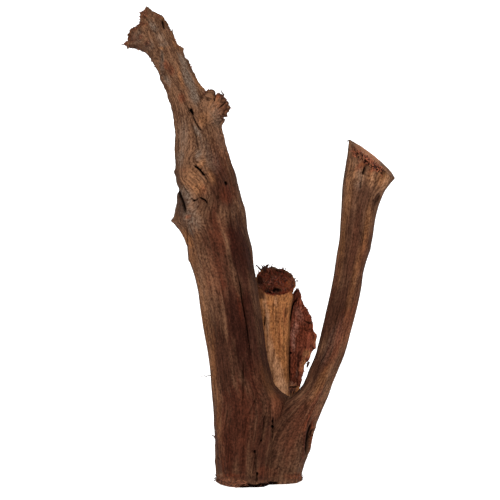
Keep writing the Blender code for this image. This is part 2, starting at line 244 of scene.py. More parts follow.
# Worm holes and pits on the front: across, up, half width, half height, lean in degrees, depth.
FRONT_PITS = (
    (-69.8, 371.4, 1.5, 1.3, 0, 7.0), (-68.7, 368.8, 1.1, 2.6, -22, 7.0),
    (-35.8, 298.1, 1.3, 2.0, -20, 5.0), (-59.7, 384.3, 1.4, 1.8, -20, 1.1),
    (-53.2, 382.6, 1.0, 1.5, 0, 0.8), (-66.8, 280.9, 1.3, 1.2, 0, 2.4), (-43.2, 284.2, 1.6, 2.0, 0, 1.3),
    (11.1, 55.1, 1.7, 1.5, 0, 6.0), (11.3, 60.3, 0.8, 1.6, 0, 3.0), (0.0, 40.7, 0.9, 1.0, 0, 2.8),
    (-6.3, 29.9, 1.1, 1.5, 0, 4.5), (-3.9, 7.6, 1.1, 1.5, 0, 4.5), (99.7, 248.1, 0.9, 2.2, 0, 1.1),
    (105.6, 319.2, 2.8, 1.9, 30, 3.6), (117.2, 284.6, 1.0, 1.4, 0, 0.9),
    (-114.2, 438.9, 1.4, 2.0, 0, 0.8), (-114.7, 434.7, 1.2, 1.2, 0, 0.5),
    (-96.4, 434.4, 1.1, 1.6, 0, 0.9), (29.6, 128.5, 1.7, 0.9, 0, 2.4), (-37.8, 360.8, 1.1, 1.3, 0, 1.6),
    (-98.3, 406.8, 0.9, 0.9, 0, 1.0), (-1.0, 202.0, 2.8, 3.8, 0, 1.5),
)
# Raised lips and folds on the front: half width, height, then the points that they run through.
FRONT_RIDGES = (
    (1.6, 1.3, (-66.4, 319.4), (-61.0, 315.4), (-55.6, 309.0)),
    (1.4, 1.2, (8.6, 80.0), (4.8, 70.0), (4.6, 56.0), (1.8, 44.0)),
    (1.4, 1.1, (-0.6, 36.0), (-3.6, 27.0), (-8.8, 15.0)),
    (1.3, 0.9, (46.6, 60.0), (43.4, 49.0), (41.6, 38.0), (40.8, 27.0)),
    (1.5, 1.4, (54.6, 60.0), (50.4, 49.0), (48.4, 38.6), (46.6, 26.5)),
    (1.5, 1.1, (-66.4, 362.0), (-61.0, 352.0), (-57.4, 344.0)),
    (1.8, 0.8, (-84.0, 412.0), (-76.0, 392.0), (-68.0, 376.0)),
    (1.5, 0.9, (-99.0, 440.0), (-95.0, 424.0), (-89.0, 404.0)),
    (1.6, 1.0, (107.6, 312.0), (106.4, 300.0), (103.0, 286.0)),
    (1.6, 0.9, (94.0, 314.0), (92.6, 298.0), (91.6, 282.0)),
    (1.7, 1.2, (120.6, 308.0), (119.0, 297.0), (114.6, 288.0)),
    (1.5, 1.1, (39.6, 178.0), (42.6, 162.0), (47.6, 148.0)),
    (1.3, 1.0, (36.4, 166.0), (35.4, 150.0), (33.4, 136.0)),
    (1.5, 1.2, (47.0, 133.0), (42.4, 125.0), (40.6, 117.0), (39.6, 107.0)),
)
# Humps (positive) and hollows that also shape the outline: across, up, radius, height.
NUBS = (
    # The crown and its snag.
    (-121.4, 469.4, 1.6, 0.9), (-118.0, 471.0, 1.6, -0.6), (-113.4, 473.4, 1.6, 0.5),
    (-98.0, 466.0, 1.8, 0.9), (-122.6, 461.0, 3.0, -0.8), (-125.4, 455.4, 1.6, -1.3),
    (-129.6, 451.6, 1.1, 1.4), (-128.7, 449.2, 1.2, -1.7), (-132.8, 447.2, 1.1, 1.3),
    (-131.2, 445.0, 1.2, -1.7), (-135.0, 441.6, 2.2, -1.0), (-133.2, 434.0, 1.1, 1.3),
    (-131.0, 436.0, 1.3, -1.3), (-125.0, 434.6, 4.0, -1.0), (-117.0, 431.0, 4.0, -0.7),
    (-91.0, 451.6, 1.6, -1.1), (-88.3, 450.8, 1.0, 1.5), (-90.2, 448.8, 1.2, -0.6),
    (-78.0, 433.6, 2.0, 1.0), (-81.6, 437.4, 1.6, -0.5), (-76.8, 428.4, 1.6, -0.5),
    (-73.8, 421.0, 4.0, 0.8), (-66.0, 408.0, 6.0, 0.5), (-52.0, 391.4, 3.0, -0.7),
    # The side branch.
    (-45.9, 385.2, 1.4, -3.6), (-42.0, 387.6, 1.6, -0.9), (-36.9, 385.8, 1.4, 0.5),
    (-34.2, 380.0, 1.1, -0.6), (-30.8, 376.4, 1.8, -1.7), (-33.8, 374.0, 0.9, -1.0),
    (-33.4, 370.6, 1.3, 0.7), (-35.6, 366.4, 2.8, 3.6), (-37.0, 359.6, 3.4, 3.6),
    (-40.2, 361.6, 3.2, 3.2), (-38.0, 360.2, 2.8, 1.8), (-38.8, 356.0, 1.2, -0.4),
    # The tall limb's right edge.
    (-36.8, 345.0, 6.0, 0.8), (-32.0, 330.0, 8.0, 0.6), (-25.0, 309.0, 9.0, 0.7),
    (-18.0, 288.0, 9.0, 0.7),
    # The tall limb's left edge, and the knot.
    (-105.0, 417.0, 5.0, 0.3), (-98.0, 401.0, 7.0, 0.9), (-92.0, 385.0, 7.0, 1.1),
    (-88.6, 371.0, 5.0, 0.7), (-88.0, 310.5, 3.0, 1.2), (-82.0, 300.0, 5.0, 1.3),
    (-82.5, 286.0, 5.0, 1.0), (-89.5, 261, 2.2, 1.0), (-82.5, 247, 2.5, 0.8), (-71.5, 222, 2.5, 0.9),
    (-66.0, 299.0, 10.0, 1.3),
    # The bark plate's tip.
    (42, 183, 2.0, -0.6),
    # The snapped limb's torn rim and right edge.
    (7.6, 213.6, 2.6, -0.2), (15.8, 212.4, 2.4, -1.8), (18.2, 213.4, 3.0, -2.2), (20.0, 214.0, 7.0, -1.8),
    (28.0, 209.5, 5.0, -0.9), (6.0, 215.0, 6.0, -1.7), (21.8, 213.0, 1.5, 1.3), (34.8, 202.4, 1.2, 0.8),
    (33.0, 204.4, 1.2, -0.6), (34.4, 190.4, 2.4, -1.6), (32.6, 187.6, 1.8, -1.6),
    (35.4, 192.4, 1.4, -1.5),
    # The bark plate's edge.
    (45.5, 160.5, 2.5, 0.8), (54, 145, 1.6, 1.0), (44.0, 124.0, 4.0, 0.9), (52.0, 136.0, 3.6, 2.4),
    (42.8, 106.0, 4.0, -1.3), (40.6, 99.0, 4.0, -1.2),
    # The sawn limb.
    (106, 233, 4.0, 0.6),
    # The foot, and the sapwood above it.
    (-45, 57, 4.0, 0.5), (-46, 40, 3.0, -0.5), (-46.5, 20, 3.0, 0.7), (46.0, 24.0, 6.0, 0.8),
    (42.4, 7.0, 5.0, -1.2), (17.0, 101.0, 4.5, -2.2), (22.0, 92.0, 4.0, -1.4),
)
# Places where the fibre turns: across, up, radius, the point it turns about, and its lean in degrees
# (positive to the right).
FRONT_SWIRLS = (
    (-69, 300, 25, -66, 300, -36), (-36, 379, 19, -50, 365, 48), (-135, 438, 24, -112, 436, -62),
    (-119, 466, 14, -112, 458, -18), (-54, 388, 10, -56, 380, 16), (-77, 268, 13, -73, 268, -24),
    (11, 57, 10, 11, 57, 12), (124, 304, 18, 112, 292, 14), (-66, 318, 9, -62, 312, -20),
)
# The same kinds of mark on the back, placed by x and z.
BACK_CRACKS = (
    (1.2, 3.5, (-42, 215), (-38, 190), (-34, 160), (-30, 132), (-28, 110)),
    (1.0, 2.4, (-68, 300), (-62, 270), (-58, 240)),
    (1.5, 4.2, (-52, 336), (-56, 322), (-58, 306)),
    (0.9, 1.8, (-70, 400), (-66, 378), (-63, 352)),
    (0.9, 1.8, (-98, 448), (-94, 432), (-88, 416)),
    (1.0, 2.2, (84, 210), (80, 180), (72, 152), (64, 128)),
    (0.9, 2.0, (108, 310), (103, 290), (99, 262)),
    (0.8, 1.6, (92, 250), (88, 228)),
    (1.3, 2.8, (-20, 88), (-22, 60), (-19, 30), (-20, 6)),
    (0.9, 1.8, (-38, 70), (-37, 42), (-39, 18)),
    (0.9, 1.8, (30, 48), (27, 26), (26, 6)),
    (0.9, 2.0, (14, 190), (15, 160), (14, 128), (13, 104)),
    (0.8, 1.5, (5, 176), (6, 150)),
)
BACK_PITS = (
    (-52, 236, 2.0, 2.8, 20, 4.5), (-47, 230, 1.2, 1.5, 0, 3.0), (-72, 368, 1.6, 2.2, -20, 3.5),
    (96, 236, 1.4, 2.0, 10, 3.5), (-30, 52, 1.8, 2.4, 0, 4.5), (-24, 44, 1.2, 1.4, 0, 3.0),
    (76, 170, 1.2, 1.8, 20, 3.0), (-62, 318, 1.3, 1.6, 0, 3.0), (16, 170, 1.2, 1.8, 0, 3.0),
    (-12, 130, 1.3, 1.9, 0, 3.0),
)
BACK_SWIRLS = (
    (-52, 238, 18, -52, 238, 42), (-72, 370, 13, -72, 370, -38), (96, 240, 12, 96, 240, 32),
    (-28, 48, 16, -28, 48, -34),
)

# Stains and bare places on the front: across, up, half width, half height, lean in degrees, strength.
GREY_PATCHES = (
    # The crown.
    (-107, 455, 3.5, 8, -34, 0.9), (-101, 444, 3.5, 7, -28, 0.9), (-98, 437, 4, 4, 0, 0.7),
    (-99, 422, 2, 12, -6, 0.8), (-78, 419, 3, 9, -26, 0.9), (-73, 402, 4.2, 16, -19, 1.0),
    (-92.5, 401, 3, 6, -24, 0.8), (-124, 444, 7, 6, -60, 0.5), (-112, 436, 6, 5, -40, 0.5),
    # The neck and the side branch.
    (-67.6, 386, 4.6, 11, -14, 1.0), (-64, 350, 2.6, 7, -26, 0.9), (-78, 345, 5, 16, 0, 0.45),
    (-58, 336, 6, 14, -20, 0.3), (-45, 366, 5, 12, -10, 0.5), (-40, 340, 5, 12, -15, 0.25),
    # The knot and the wood around it.
    (-75, 283, 7, 11, -24, 0.9), (-73, 268, 7, 12, -26, 0.8), (-66, 262, 7, 9, -30, 0.5),
    (-62.5, 327, 3, 6, 0, 0.8), (-80, 324, 3.6, 9, 4, 0.7), (-50, 322, 7, 12, -20, 0.3),
    (-71, 255, 3, 8, -20, 0.5),
    # The tall limb below the knot.
    (-58, 196, 3, 30, -8, 0.25),
    # The sawn limb.
    (98, 302, 4, 10, 0, 0.4), (72, 140, 5, 24, 28, 0.25),
    # The bark plate.
    (38, 168, 4, 9, -20, 0.5), (35.4, 155, 3, 8, 0, 0.7), (32.4, 143, 2.4, 11, 0, 1.0),
    (36.2, 108.5, 1.1, 4.5, 0, 0.9), (31, 98.5, 2, 1.6, 0, 0.8),
)
TAN_PATCHES = (
    # The crown.
    (-80, 402, 2.4, 12, -12, 0.5), (-85, 441, 3, 9, -26, 0.7), (-97, 462, 2.6, 6, -14, 0.7),
    (-99.4, 433.4, 2.4, 1.8, 0, 1.0), (-116, 458, 5, 5, 0, 0.12),
    # The neck and the side branch.
    (-62.5, 399, 2.6, 9, -34, 0.9), (-47, 378, 5, 8, 0, 0.4), (-57, 362, 5, 8, 0, 0.45),
    (-39, 359, 2.4, 4, 0, 0.7),
    # The knot and the wood around it.
    (-70, 306, 11, 9, -48, 0.38), (-62, 296, 7, 9, -40, 0.5), (-60.6, 316.4, 6, 2.4, -50, 0.6),
    (-73, 264.4, 2.4, 2.2, 0, 1.0), (-50, 305, 3, 8, -24, 0.4),
    # The tall limb below the knot.
    (-73, 242, 5, 10, -25, 0.75), (-57, 170, 6, 60, -8, 0.45), (-70, 220, 4, 24, -10, 0.5),
    (-50, 120, 4, 50, -5, 0.35), (7, 98, 5, 18, -20, 0.3),
    # The foot and the fused stems.
    (46.4, 26, 1.8, 14, 12, 0.9), (-42, 60, 3.0, 34, -3, 0.3), (32.8, 88.4, 1.4, 4, 20, 0.7),
    (31, 90, 3, 4.5, 0, 1.0),
    # The sawn limb.
    (121, 304, 6, 10, 24, 0.6), (110, 304, 4.5, 8, 6, 0.45), (95, 305, 3, 7, 0, 0.4),
    (106, 258, 3.4, 24, 8, 0.55), (88, 292, 4, 24, 4, 0.4), (93, 200, 3, 40, 12, 0.35),
    (82, 250, 3, 40, 4, 0.4), (60, 100, 4, 20, 30, 0.45), (102, 317, 2.2, 1.8, 0, 1.0),
    # The snapped limb.
    (0.5, 178, 4, 12, 0, 0.6), (28, 198, 3, 7, 0, 0.35), (33.6, 197, 1.3, 5, 0, 1.0),
    (24, 160, 3, 20, 0, 0.4),
    # The bark plate.
    (47.4, 128, 4, 4.4, 40, 1.0), (42.8, 117, 1.8, 6.5, 14, 1.0), (55.2, 139.5, 1.4, 5, 0, 1.0),
    (30.5, 93, 4, 5.5, 0, 0.5),
)
RED_PATCHES = (
    # The crown.
    (-95, 416, 3, 5, -20, 0.9), (-90, 411, 3, 5, -20, 0.8), (-120.4, 444.6, 2.6, 2.6, 0, 0.8),
    (-114, 438, 3, 4, 0, 0.6), (-136, 438.4, 3, 3.4, 0, 1.0),
    # The neck and the side branch.
    (-78.8, 384, 3.6, 5, -10, 0.9), (-42.6, 384.8, 3.6, 2.0, 0, 0.9), (-36, 374, 3, 8, 0, 0.6),
    (-46, 392, 6, 1.4, 0, 0.6), (-38, 374, 8, 12, 0, 0.35), (-38, 362, 3, 5, 0, 0.5),
    # The knot and the wood around it.
    (-73, 264.4, 2.6, 2.4, 0, 1.0), (-57, 292, 4, 7, -15, 0.6), (-34, 286, 8, 10, 0, 0.5),
    (-40, 330, 10, 20, -18, 0.3), (-42, 250, 9, 22, -8, 0.35),
    # The tall limb below the knot.
    (-46, 205, 10, 24, -8, 0.3), (-22, 178, 1.6, 22, -8, 0.3), (-6, 100, 8, 26, 0, 0.25),
    # The foot and the fused stems.
    (-20, 60, 14, 40, 0, 0.3), (-36, 40, 8, 40, 0, 0.4), (14, 76, 8, 12, 0, 0.4),
    (30, 40, 10, 20, 10, 0.25), (42, 62, 14, 30, 22, 0.35), (42.8, 38, 1.6, 18, 8, 1.0),
    (48.6, 42, 1.6, 20, 8, 0.9), (43.6, 8, 1.6, 12, 12, 0.9), (31, 91, 4, 7, 0, 0.35),
    (-32, 4, 14, 4, 0, 0.8), (6, 8, 12, 6, 0, 0.4), (34, 5, 12, 4, 0, 0.8), (50, 70, 2.4, 26, 24, 0.9),
    # The sawn limb.
    (100, 214, 4, 40, 12, 0.25), (93, 236, 3.4, 30, 8, 0.2), (82, 150, 7, 36, 25, 0.6),
    (103, 318, 9, 3, -40, 0.9), (112, 313, 6, 3, -40, 0.9), (95, 329, 4, 5, -40, 0.8),
    (70, 190, 4, 30, 14, 0.3),
    # The snapped limb.
    (6.6, 178.5, 1.3, 1.3, 0, 1.0), (28.6, 192.5, 5.5, 6.5, 0, 0.9), (24, 200, 8, 7, 0, 0.7),
    (2.4, 191.5, 5, 5, 0, 0.6), (15, 187.6, 8, 2.4, 0, 0.5), (23.6, 166, 1.8, 12, 0, 0.7),
    (18.6, 146, 1.6, 20, 0, 0.5), (12.4, 150, 1.4, 24, 0, 0.35),
    # The bark plate.
    (32.8, 112.5, 1.8, 13, 0, 1.0), (45, 152, 6, 12, 0, 0.7), (50, 150, 3, 8, 0, 0.5),
)
# Darker places on the front: mostly stain, with painted shade at the tall limb's right edge and along the
# bark plate's left edge.
DARK_STAIN_AND_SHADE_PATCHES = (
    # The crown.
    (-114.5, 437, 2, 4, 0, 0.8), (-91, 412, 2.2, 4.5, -20, 0.6), (-124, 433.6, 6, 1.2, 14, 0.8),
    (-97.2, 458, 2.2, 5, -10, 0.9), (-126, 442, 4, 3, 0, 0.3), (-123, 444, 10, 8, -30, 0.22),
    (-106, 436, 3, 3, 0, 0.3),
    # The neck and the side branch.
    (-36, 372, 2.6, 1.4, -40, 0.5),
    # The knot and the wood around it.
    (-81, 272, 3.4, 10, -20, 0.9), (-79, 277, 6, 13, -24, 1.0), (-85, 271, 4, 9, -10, 0.55),
    (-78, 260, 3, 6, -20, 0.5), (-36, 275, 5, 8, 0, 0.3), (-73, 250, 1.6, 14, 0, 0.5),
    # The tall limb below the knot.
    (-17, 235, 5, 20, -17, 0.5), (-22, 208, 7, 18, -14, 0.6), (-6, 140, 9, 30, -8, 0.85),
    (4, 112, 6, 22, -8, 0.5), (-25, 150, 5, 40, -8, 0.4), (-20, 132, 9, 34, -6, 0.3),
    (-12, 116, 8, 30, -5, 0.35), (10, 104, 6, 22, -22, 0.5),
    # The foot and the fused stems.
    (-30, 50, 12, 40, 0, 0.4), (6, 5, 42, 6, 0, 0.3), (11, 60, 4, 10, 0, 0.5), (-5, 18, 3, 16, 0, 0.5),
    (45.4, 44, 2.4, 16, 10, 0.9), (26, 70, 12, 8, 0, 0.25), (-12, 3.5, 20, 2.6, 0, 0.9),
    # The sawn limb.
    (92, 275, 3, 22, 4, 0.4), (98, 262, 3, 22, 6, 0.45), (91, 225, 3.4, 26, 8, 0.45),
    (114, 281, 3, 9, 30, 0.65), (103, 288, 6, 12, 0, 0.5), (104, 318, 6, 3, -40, 0.7),
    (77, 120, 3, 20, 34, 0.5), (68, 160, 2, 30, 24, 0.4), (110, 240, 1.8, 40, 10, 0.5),
    # The snapped limb, and painted shade down the tall limb's right edge beside it.
    (-5, 190, 7, 44, -9, 0.85), (-2, 203, 4, 5, 0, 0.9), (10, 191, 10, 2.6, -6, 0.8),
    (24.6, 170.4, 1.8, 5, 0, 0.6), (8, 153, 1.6, 2, 0, 0.7), (4, 150, 5, 56, -5, 1.0),
    (-1, 208, 5, 6, 0, 0.6), (5, 204, 5, 5, 0, 0.5), (32, 198, 1.6, 5, 0, 0.4),
    # The bark plate, and painted contact shadow along its left edge.
    (30.6, 170, 1.8, 14, 12, 0.9), (28.2, 116, 1.2, 22, 0, 0.9), (47, 158.4, 5, 1.6, -20, 0.8),
    (38.8, 121, 2.2, 13, 4, 0.55), (38.4, 188, 2.6, 4.5, 0, 0.8),
)
# Where dry fibre shows pale and pinkish on the front, and where painted light lifts the sapwood beside the
# tall limb.
PALE_FIBRE_AND_LIGHT_PATCHES = (
    # The crown.
    (-101, 444, 2, 7, -28, 0.3),
    # The knot and the wood around it.
    (-72, 306, 8, 5, -48, 0.1), (-61, 317, 5, 1.5, -48, 0.35), (-66, 268, 3, 7, -30, 0.1),
    # The foot and the fused stems.
    (-31, 2, 10, 2.6, 0, 0.3), (-40.4, 6, 3, 3, 0, 0.4), (29.4, 88, 2.4, 5, 14, 0.8),
    # The sawn limb.
    (101.4, 303, 1.2, 6, 8, 0.4), (111, 303, 2.0, 8, 14, 0.45), (124, 300, 3, 9, 26, 0.4),
    # The snapped limb: painted light on the sapwood along the tall limb's edge, where the limb shades it.
    (20.5, 96, 6.5, 12, -24, 1.0), (16, 110, 6, 14, -10, 0.75), (9.6, 128, 3.2, 24, -6, 0.7),
    (6.4, 160, 2.2, 14, 0, 0.9), (4.4, 178, 2.4, 8, 0, 0.5), (14.5, 180, 1.8, 6, 0, 0.5),
    # The bark plate.
    (47.4, 128, 3.0, 5.0, 38, 0.2), (31, 95, 3.4, 3.5, 20, 0.5),
)
# Where the wood is darker, redder heartwood, on the front.
DEEP_PATCHES = (
    # The knot and the wood around it.
    (-38, 292, 13, 38, -10, 0.85), (-50, 330, 8, 20, -14, 0.2),
    # The tall limb below the knot.
    (-24, 235, 13, 52, -14, 1.0), (-42, 235, 14, 50, -12, 0.8), (8, 105, 16, 50, 0, 0.8),
    (-64, 230, 10, 40, -12, 0.4), (-20, 150, 22, 72, -7, 1.0), (-36, 120, 14, 60, -5, 0.85),
    (-40, 160, 9, 44, -8, 0.5), (-58, 210, 10, 60, -8, 0.3),
    # The foot and the fused stems.
    (-20, 50, 34, 66, 0, 0.9), (26, 50, 26, 56, 10, 0.7),
    # The sawn limb.
    (56, 112, 14, 40, 30, 0.75), (78, 170, 14, 44, 22, 0.8), (94, 235, 18, 55, 10, 0.66),
    (103, 282, 13, 22, 6, 0.6),
)

# Strands that stand out against the light: the node they grow from, half their thickness at the root, and
# the points they run through, root first.
STRANDS = (
    ("back_limb", 1.0, (3.0, 210.6), (4.2, 212.8), (4.4, 215.2)),
    ("back_limb", 0.9, (6.4, 210.8), (5.6, 213.0), (6.4, 215.0)),
    ("back_limb", 0.8, (0.8, 210.6), (1.2, 212.6), (2.6, 214.4)),
    ("back_limb", 0.65, (0.2, 211.2), (-2.2, 213.8), (-4.9, 216.8)),
    ("back_limb", 0.40, (-4.2, 216.0), (-5.8, 215.0)),
    ("back_limb", 0.60, (2.6, 212.4), (1.6, 214.6), (0.4, 216.4)),
    ("back_limb", 0.65, (1.6, 212.6), (4.4, 214.6), (6.4, 217.4)),
    ("back_limb", 0.60, (0.8, 214.0), (3.6, 214.4), (6.8, 213.6)),
    ("back_limb", 0.50, (4.0, 213.4), (6.2, 215.4), (8.0, 217.6)),
    ("back_limb", 0.45, (6.0, 213.2), (7.4, 216.8), (9.0, 215.8)),
    ("back_limb", 0.50, (3.2, 213.0), (3.4, 215.4), (2.0, 217.0)),
    ("back_limb", 0.40, (8.0, 212.6), (10.6, 215.4), (12.8, 219.2)),
    ("back_limb", 0.36, (11.8, 212.6), (12.6, 213.6), (14.4, 214.6)),
    ("back_limb", 0.36, (21.0, 211.8), (21.4, 213.2), (21.6, 214.6)),
    ("back_limb", 0.32, (23.6, 210.8), (24.6, 212.6), (24.8, 214.4)),
    ("back_limb", 0.40, (33.2, 202.8), (34.6, 202.8), (35.4, 203.4)),
    ("back_limb", 0.34, (28.4, 207.4), (29.6, 208.2), (30.0, 209.2)),
    ("left_limb", 0.50, (-36.6, 386.0), (-38.2, 388.0), (-39.4, 389.6), (-39.5, 391.4)),
    ("left_limb", 0.40, (-137.0, 437.0), (-138.6, 437.0), (-140.2, 436.2)),
    ("left_limb", 0.36, (-133.8, 434.6), (-133.4, 432.8), (-132.2, 432.0)),
    ("left_limb", 0.34, (-121.0, 469.0), (-122.0, 469.4), (-122.6, 470.2)),
    ("left_limb", 0.34, (-88.4, 450.4), (-88.4, 451.8), (-88.8, 452.6)),
    ("right_limb", 0.42, (90.4, 340.6), (88.4, 341.2), (86.6, 340.6), (85.4, 339.4)),
    ("trunk", 0.40, (-45.6, 42.4), (-46.6, 44.8), (-48.4, 46.4), (-50.4, 46.8)),
    ("bark_plate", 0.90, (47.8, 119.9), (46.9, 117.0), (45.8, 113.8)),
    ("bark_plate", 0.22, (44.6, 118.4), (46.0, 118.0), (47.0, 117.6)),
    ("bark_plate", 0.30, (41.4, 110.3), (42.8, 110.2), (44.2, 110.0)),
    (
        "left_limb", 0.28, (-50.4, 106.0), (-52.4, 106.3), (-54.2, 105.1), (-56.8, 105.8), (-58.6, 105.4),
        (-60.2, 104.8),
    ),
    ("trunk", 0.36, (-44.6, 2.0), (-46.2, 1.4), (-47.6, 0.2)),
    ("trunk", 0.36, (-44.4, 3.0), (-45.8, 3.4), (-47.4, 2.6)),
)
# They are drawn half again as thick as these rows say, so that they show, and dark: tone 0 is the darkest.
STRAND_THICKENING = 1.5
STRAND_TONE = 0.1

# Colours that no setting changes: open end grain (also used as painted shade on the crown's broken flanks),
# the pores, and the near-black painted shadow inside cracks and pits.
END_GRAIN_AND_EDGE_SHADE_COLOUR = "#2a130c"
PORE_SHADE = "#1c0d08"
PAINTED_CRACK_SHADOW_COLOUR = "#080403"

# Lattice directions for the noise, to the middles of a cube's twelve edges.
EDGE_WAYS = np.array([v for v in product((-1, 0, 1), repeat=3) if sum(map(abs, v)) == 2], float)


def linear(hex_colour):
    """An sRGB hex colour as linear red, green and blue."""
    values = [int(hex_colour[i:i + 2], 16) / 255 for i in (1, 3, 5)]
    return [v / 12.92 if v <= 0.04045 else ((v + 0.055) / 1.055) ** 2.4 for v in values]


def smoothstep(low, high, value):
    t = np.clip((value - low) / (high - low), 0, 1)
    return t * t * (3 - 2 * t)


def rough(points, seed):
    """Smooth lattice noise from about -1 to 1, with cells one unit wide."""
    cell = np.floor(points).astype(np.int64)
    within = points - cell
    fade = within ** 3 * (within * (within * 6 - 15) + 10)
    total = np.zeros(len(points))
    for corner in product((0, 1), repeat=3):
        near = cell + np.array(corner)
        mix = near[:, 0] * 73856093 ^ near[:, 1] * 19349663 ^ near[:, 2] * 83492791 ^ (seed * 40503 + 977)
        mix = (mix ^ (mix >> 13)) * 1274126177 & 0x7FFFFFFF
        way = EDGE_WAYS[(mix ^ (mix >> 15)) % len(EDGE_WAYS)]
        weight = np.prod(np.where(corner, fade, 1 - fade), axis=1)
        total += weight * np.einsum("ij,ij->i", way, within - np.array(corner))
    return total


def grooves(points, seed):
    """From 0 to 1, with thin valleys of 0 that wind through it."""
    return np.clip(np.abs(rough(points, seed)) * 3.2, 0, 1) ** 0.7


class Skin:
    """The wood's surface as arrays: points in millimetres, quads, and what is worked out from them."""

    def __init__(self, points, quads):
        self.points = points
        self.quads = quads
        sides = np.concatenate([quads[:, [0, 1]], quads[:, [1, 2]], quads[:, [2, 3]], quads[:, [3, 0]]])
        self.starts = np.concatenate([sides[:, 0], sides[:, 1]])
        self.ends = np.concatenate([sides[:, 1], sides[:, 0]])
        self.valence = np.bincount(self.starts, minlength=len(points))[:, None]

    def gathered(self, values):
        """The mean of each point's neighbours."""
        count = len(self.points)
        sums = [np.bincount(self.starts, column[self.ends], count) for column in values.T]
        return np.stack(sums, axis=1) / self.valence

    def smooth(self, rounds, hold):
        """Relaxes facets. hold is 1 where a point stays and 0 where it moves freely."""
        for _ in range(rounds):
            self.points += (0.6 * (1 - hold))[:, None] * (self.gathered(self.points) - self.points)

    def normals(self):
        a, b, c, d = (self.points[self.quads[:, k]] for k in range(4))
        facing = np.cross(c - a, d - b)
        total = np.stack([
            np.bincount(self.quads.ravel(), np.repeat(facing[:, k], 4), len(self.points)) for k in range(3)
        ], axis=1)
        return total / np.maximum(np.linalg.norm(total, axis=1), 1e-9)[:, None]


def node_mesh(name):
    """A frame node's points in millimetres and its triangles."""
    mesh = frame["nodes"][name].data
    points = np.empty(len(mesh.vertices) * 3, np.float32)
    mesh.vertices.foreach_get("co", points)
    mesh.calc_loop_triangles()
    corners = np.empty(len(mesh.loop_triangles) * 3, np.int32)
    mesh.loop_triangles.foreach_get("vertices", corners)
    return points.reshape(-1, 3).astype(float) / MM, corners.reshape(-1, 3)


def remeshed(points, triangles, voxel):
    """One closed skin of even quads over these solids."""
    mesh = bpy.data.meshes.new("blank")
    mesh.from_pydata((points * MM).tolist(), [], triangles.tolist())
    blank = bpy.data.objects.new("blank", mesh)
    bpy.context.scene.collection.objects.link(blank)
    change = blank.modifiers.new("even quads", "REMESH")
    change.mode = "VOXEL"
    change.voxel_size = voxel
    even = blank.evaluated_get(bpy.context.evaluated_depsgraph_get()).to_mesh()
    made = np.empty(len(even.vertices) * 3, np.float32)
    even.vertices.foreach_get("co", made)
    corners = np.empty(len(even.loops), np.int32)
    even.loops.foreach_get("vertex_index", corners)
    if len(even.loops) != 4 * len(even.polygons):
        raise RuntimeError("the remesh gave faces that aren't quads")
    bpy.data.objects.remove(blank)
    bpy.data.meshes.remove(mesh)
    return Skin(made.reshape(-1, 3).astype(float) / MM, corners.reshape(-1, 4))


def wood_blank(voxel):
    """The five nodes as one skin, and each point's nearest node."""
    solids, faces, owners = [], [], []
    count = 0
    for index, name in enumerate(NODES):
        points, triangles = node_mesh(name)
        if index != TRUNK:
            # The limbs' feet sink into the trunk, which closes the frame's thin gap at the fork.
            points[points[:, 2] < FORK_HEIGHT + 0.6, 2] -= 0.7
        solids.append(points)
        faces.append(triangles + count)
        owners += [index] * len(triangles)
        count += len(points)
    solids, faces = np.concatenate(solids), np.concatenate(faces)
    skin = remeshed(solids, faces, voxel)
    tree = BVHTree.FromPolygons(solids.tolist(), faces.tolist())
    owner = np.array([owners[tree.find_nearest(p)[2]] for p in skin.points.tolist()])
    return skin, owner


def sections(name, step=4.0):
    """A limb's level sections: height, middle x, middle y, half width, half depth."""
    points, triangles = node_mesh(name)
    corners = points[triangles]
    heights = np.arange(points[:, 2].min() + 1, points[:, 2].max() - 1, step)
    rows = []
    for height in heights:
        crossed = []
        for a, b in ((0, 1), (1, 2), (2, 0)):
            low, high = corners[:, a], corners[:, b]
            cuts = (low[:, 2] - height) * (high[:, 2] - height) < 0
            t = (height - low[cuts, 2]) / (high[cuts, 2] - low[cuts, 2])
            crossed.append(low[cuts] + t[:, None] * (high[cuts] - low[cuts]))
        crossed = np.concatenate(crossed)
        low, high = crossed.min(axis=0), crossed.max(axis=0)
        rows.append((height, *((low + high) / 2)[:2], *((high - low) / 2)[:2]))
    return np.array(rows)


def stem_course(limb):
    """A stem from foot to tip: its sections, smoothed, with the distance along it in the last column."""
    rows = sections(NODES[limb])
    for stretch in STEM_STRETCHES[limb]:
        stretch = np.array(stretch, float)
        outside = (rows[:, 0] < stretch[0, 0] - 2) | (rows[:, 0] > stretch[-1, 0] + 2)
        rows = np.concatenate([rows[outside], stretch])
    rows = rows[np.argsort(rows[:, 0])]
    even = np.arange(rows[0, 0], rows[-1, 0] + 2, 2.0)
    columns = [np.interp(even, rows[:, 0], rows[:, k]) for k in range(1, 5)]
    window = np.hanning(17)
    window /= window.sum()
    columns = [np.convolve(np.pad(c, 8, mode="edge"), window, mode="valid") for c in columns]
    steps = np.hypot(np.hypot(np.gradient(columns[0]), np.gradient(columns[1])), 2.0)
    return np.stack([even, *columns, np.cumsum(steps)], axis=1)


def stem_way(course, points, lean):
    """Which way the fibre runs at each point, leaning by this many radians to the right of the stem."""
    slopes = [np.interp(points[:, 2], course[:, 0], np.gradient(course[:, k], course[:, 0])) for k in (1, 2)]
    x, y, z = slopes[0], slopes[1], np.ones(len(points))
    way = np.stack([x * np.cos(lean) + z * np.sin(lean), y, z * np.cos(lean) - x * np.sin(lean)], axis=1)
    return way / np.linalg.norm(way, axis=1)[:, None]


def stem_place(course, points):
    """Each point's offset from the stem's middle line, straightened, and how far out it lies."""
    x, y, width, depth, along = (np.interp(points[:, 2], course[:, 0], course[:, k]) for k in range(1, 6))
    across, deep = (points[:, 0] - x) / width, (points[:, 1] - y) / depth
    grain = np.stack([across * course[:, 3].mean(), deep * course[:, 4].mean(), along], axis=1)
    return grain, np.hypot(across, deep)


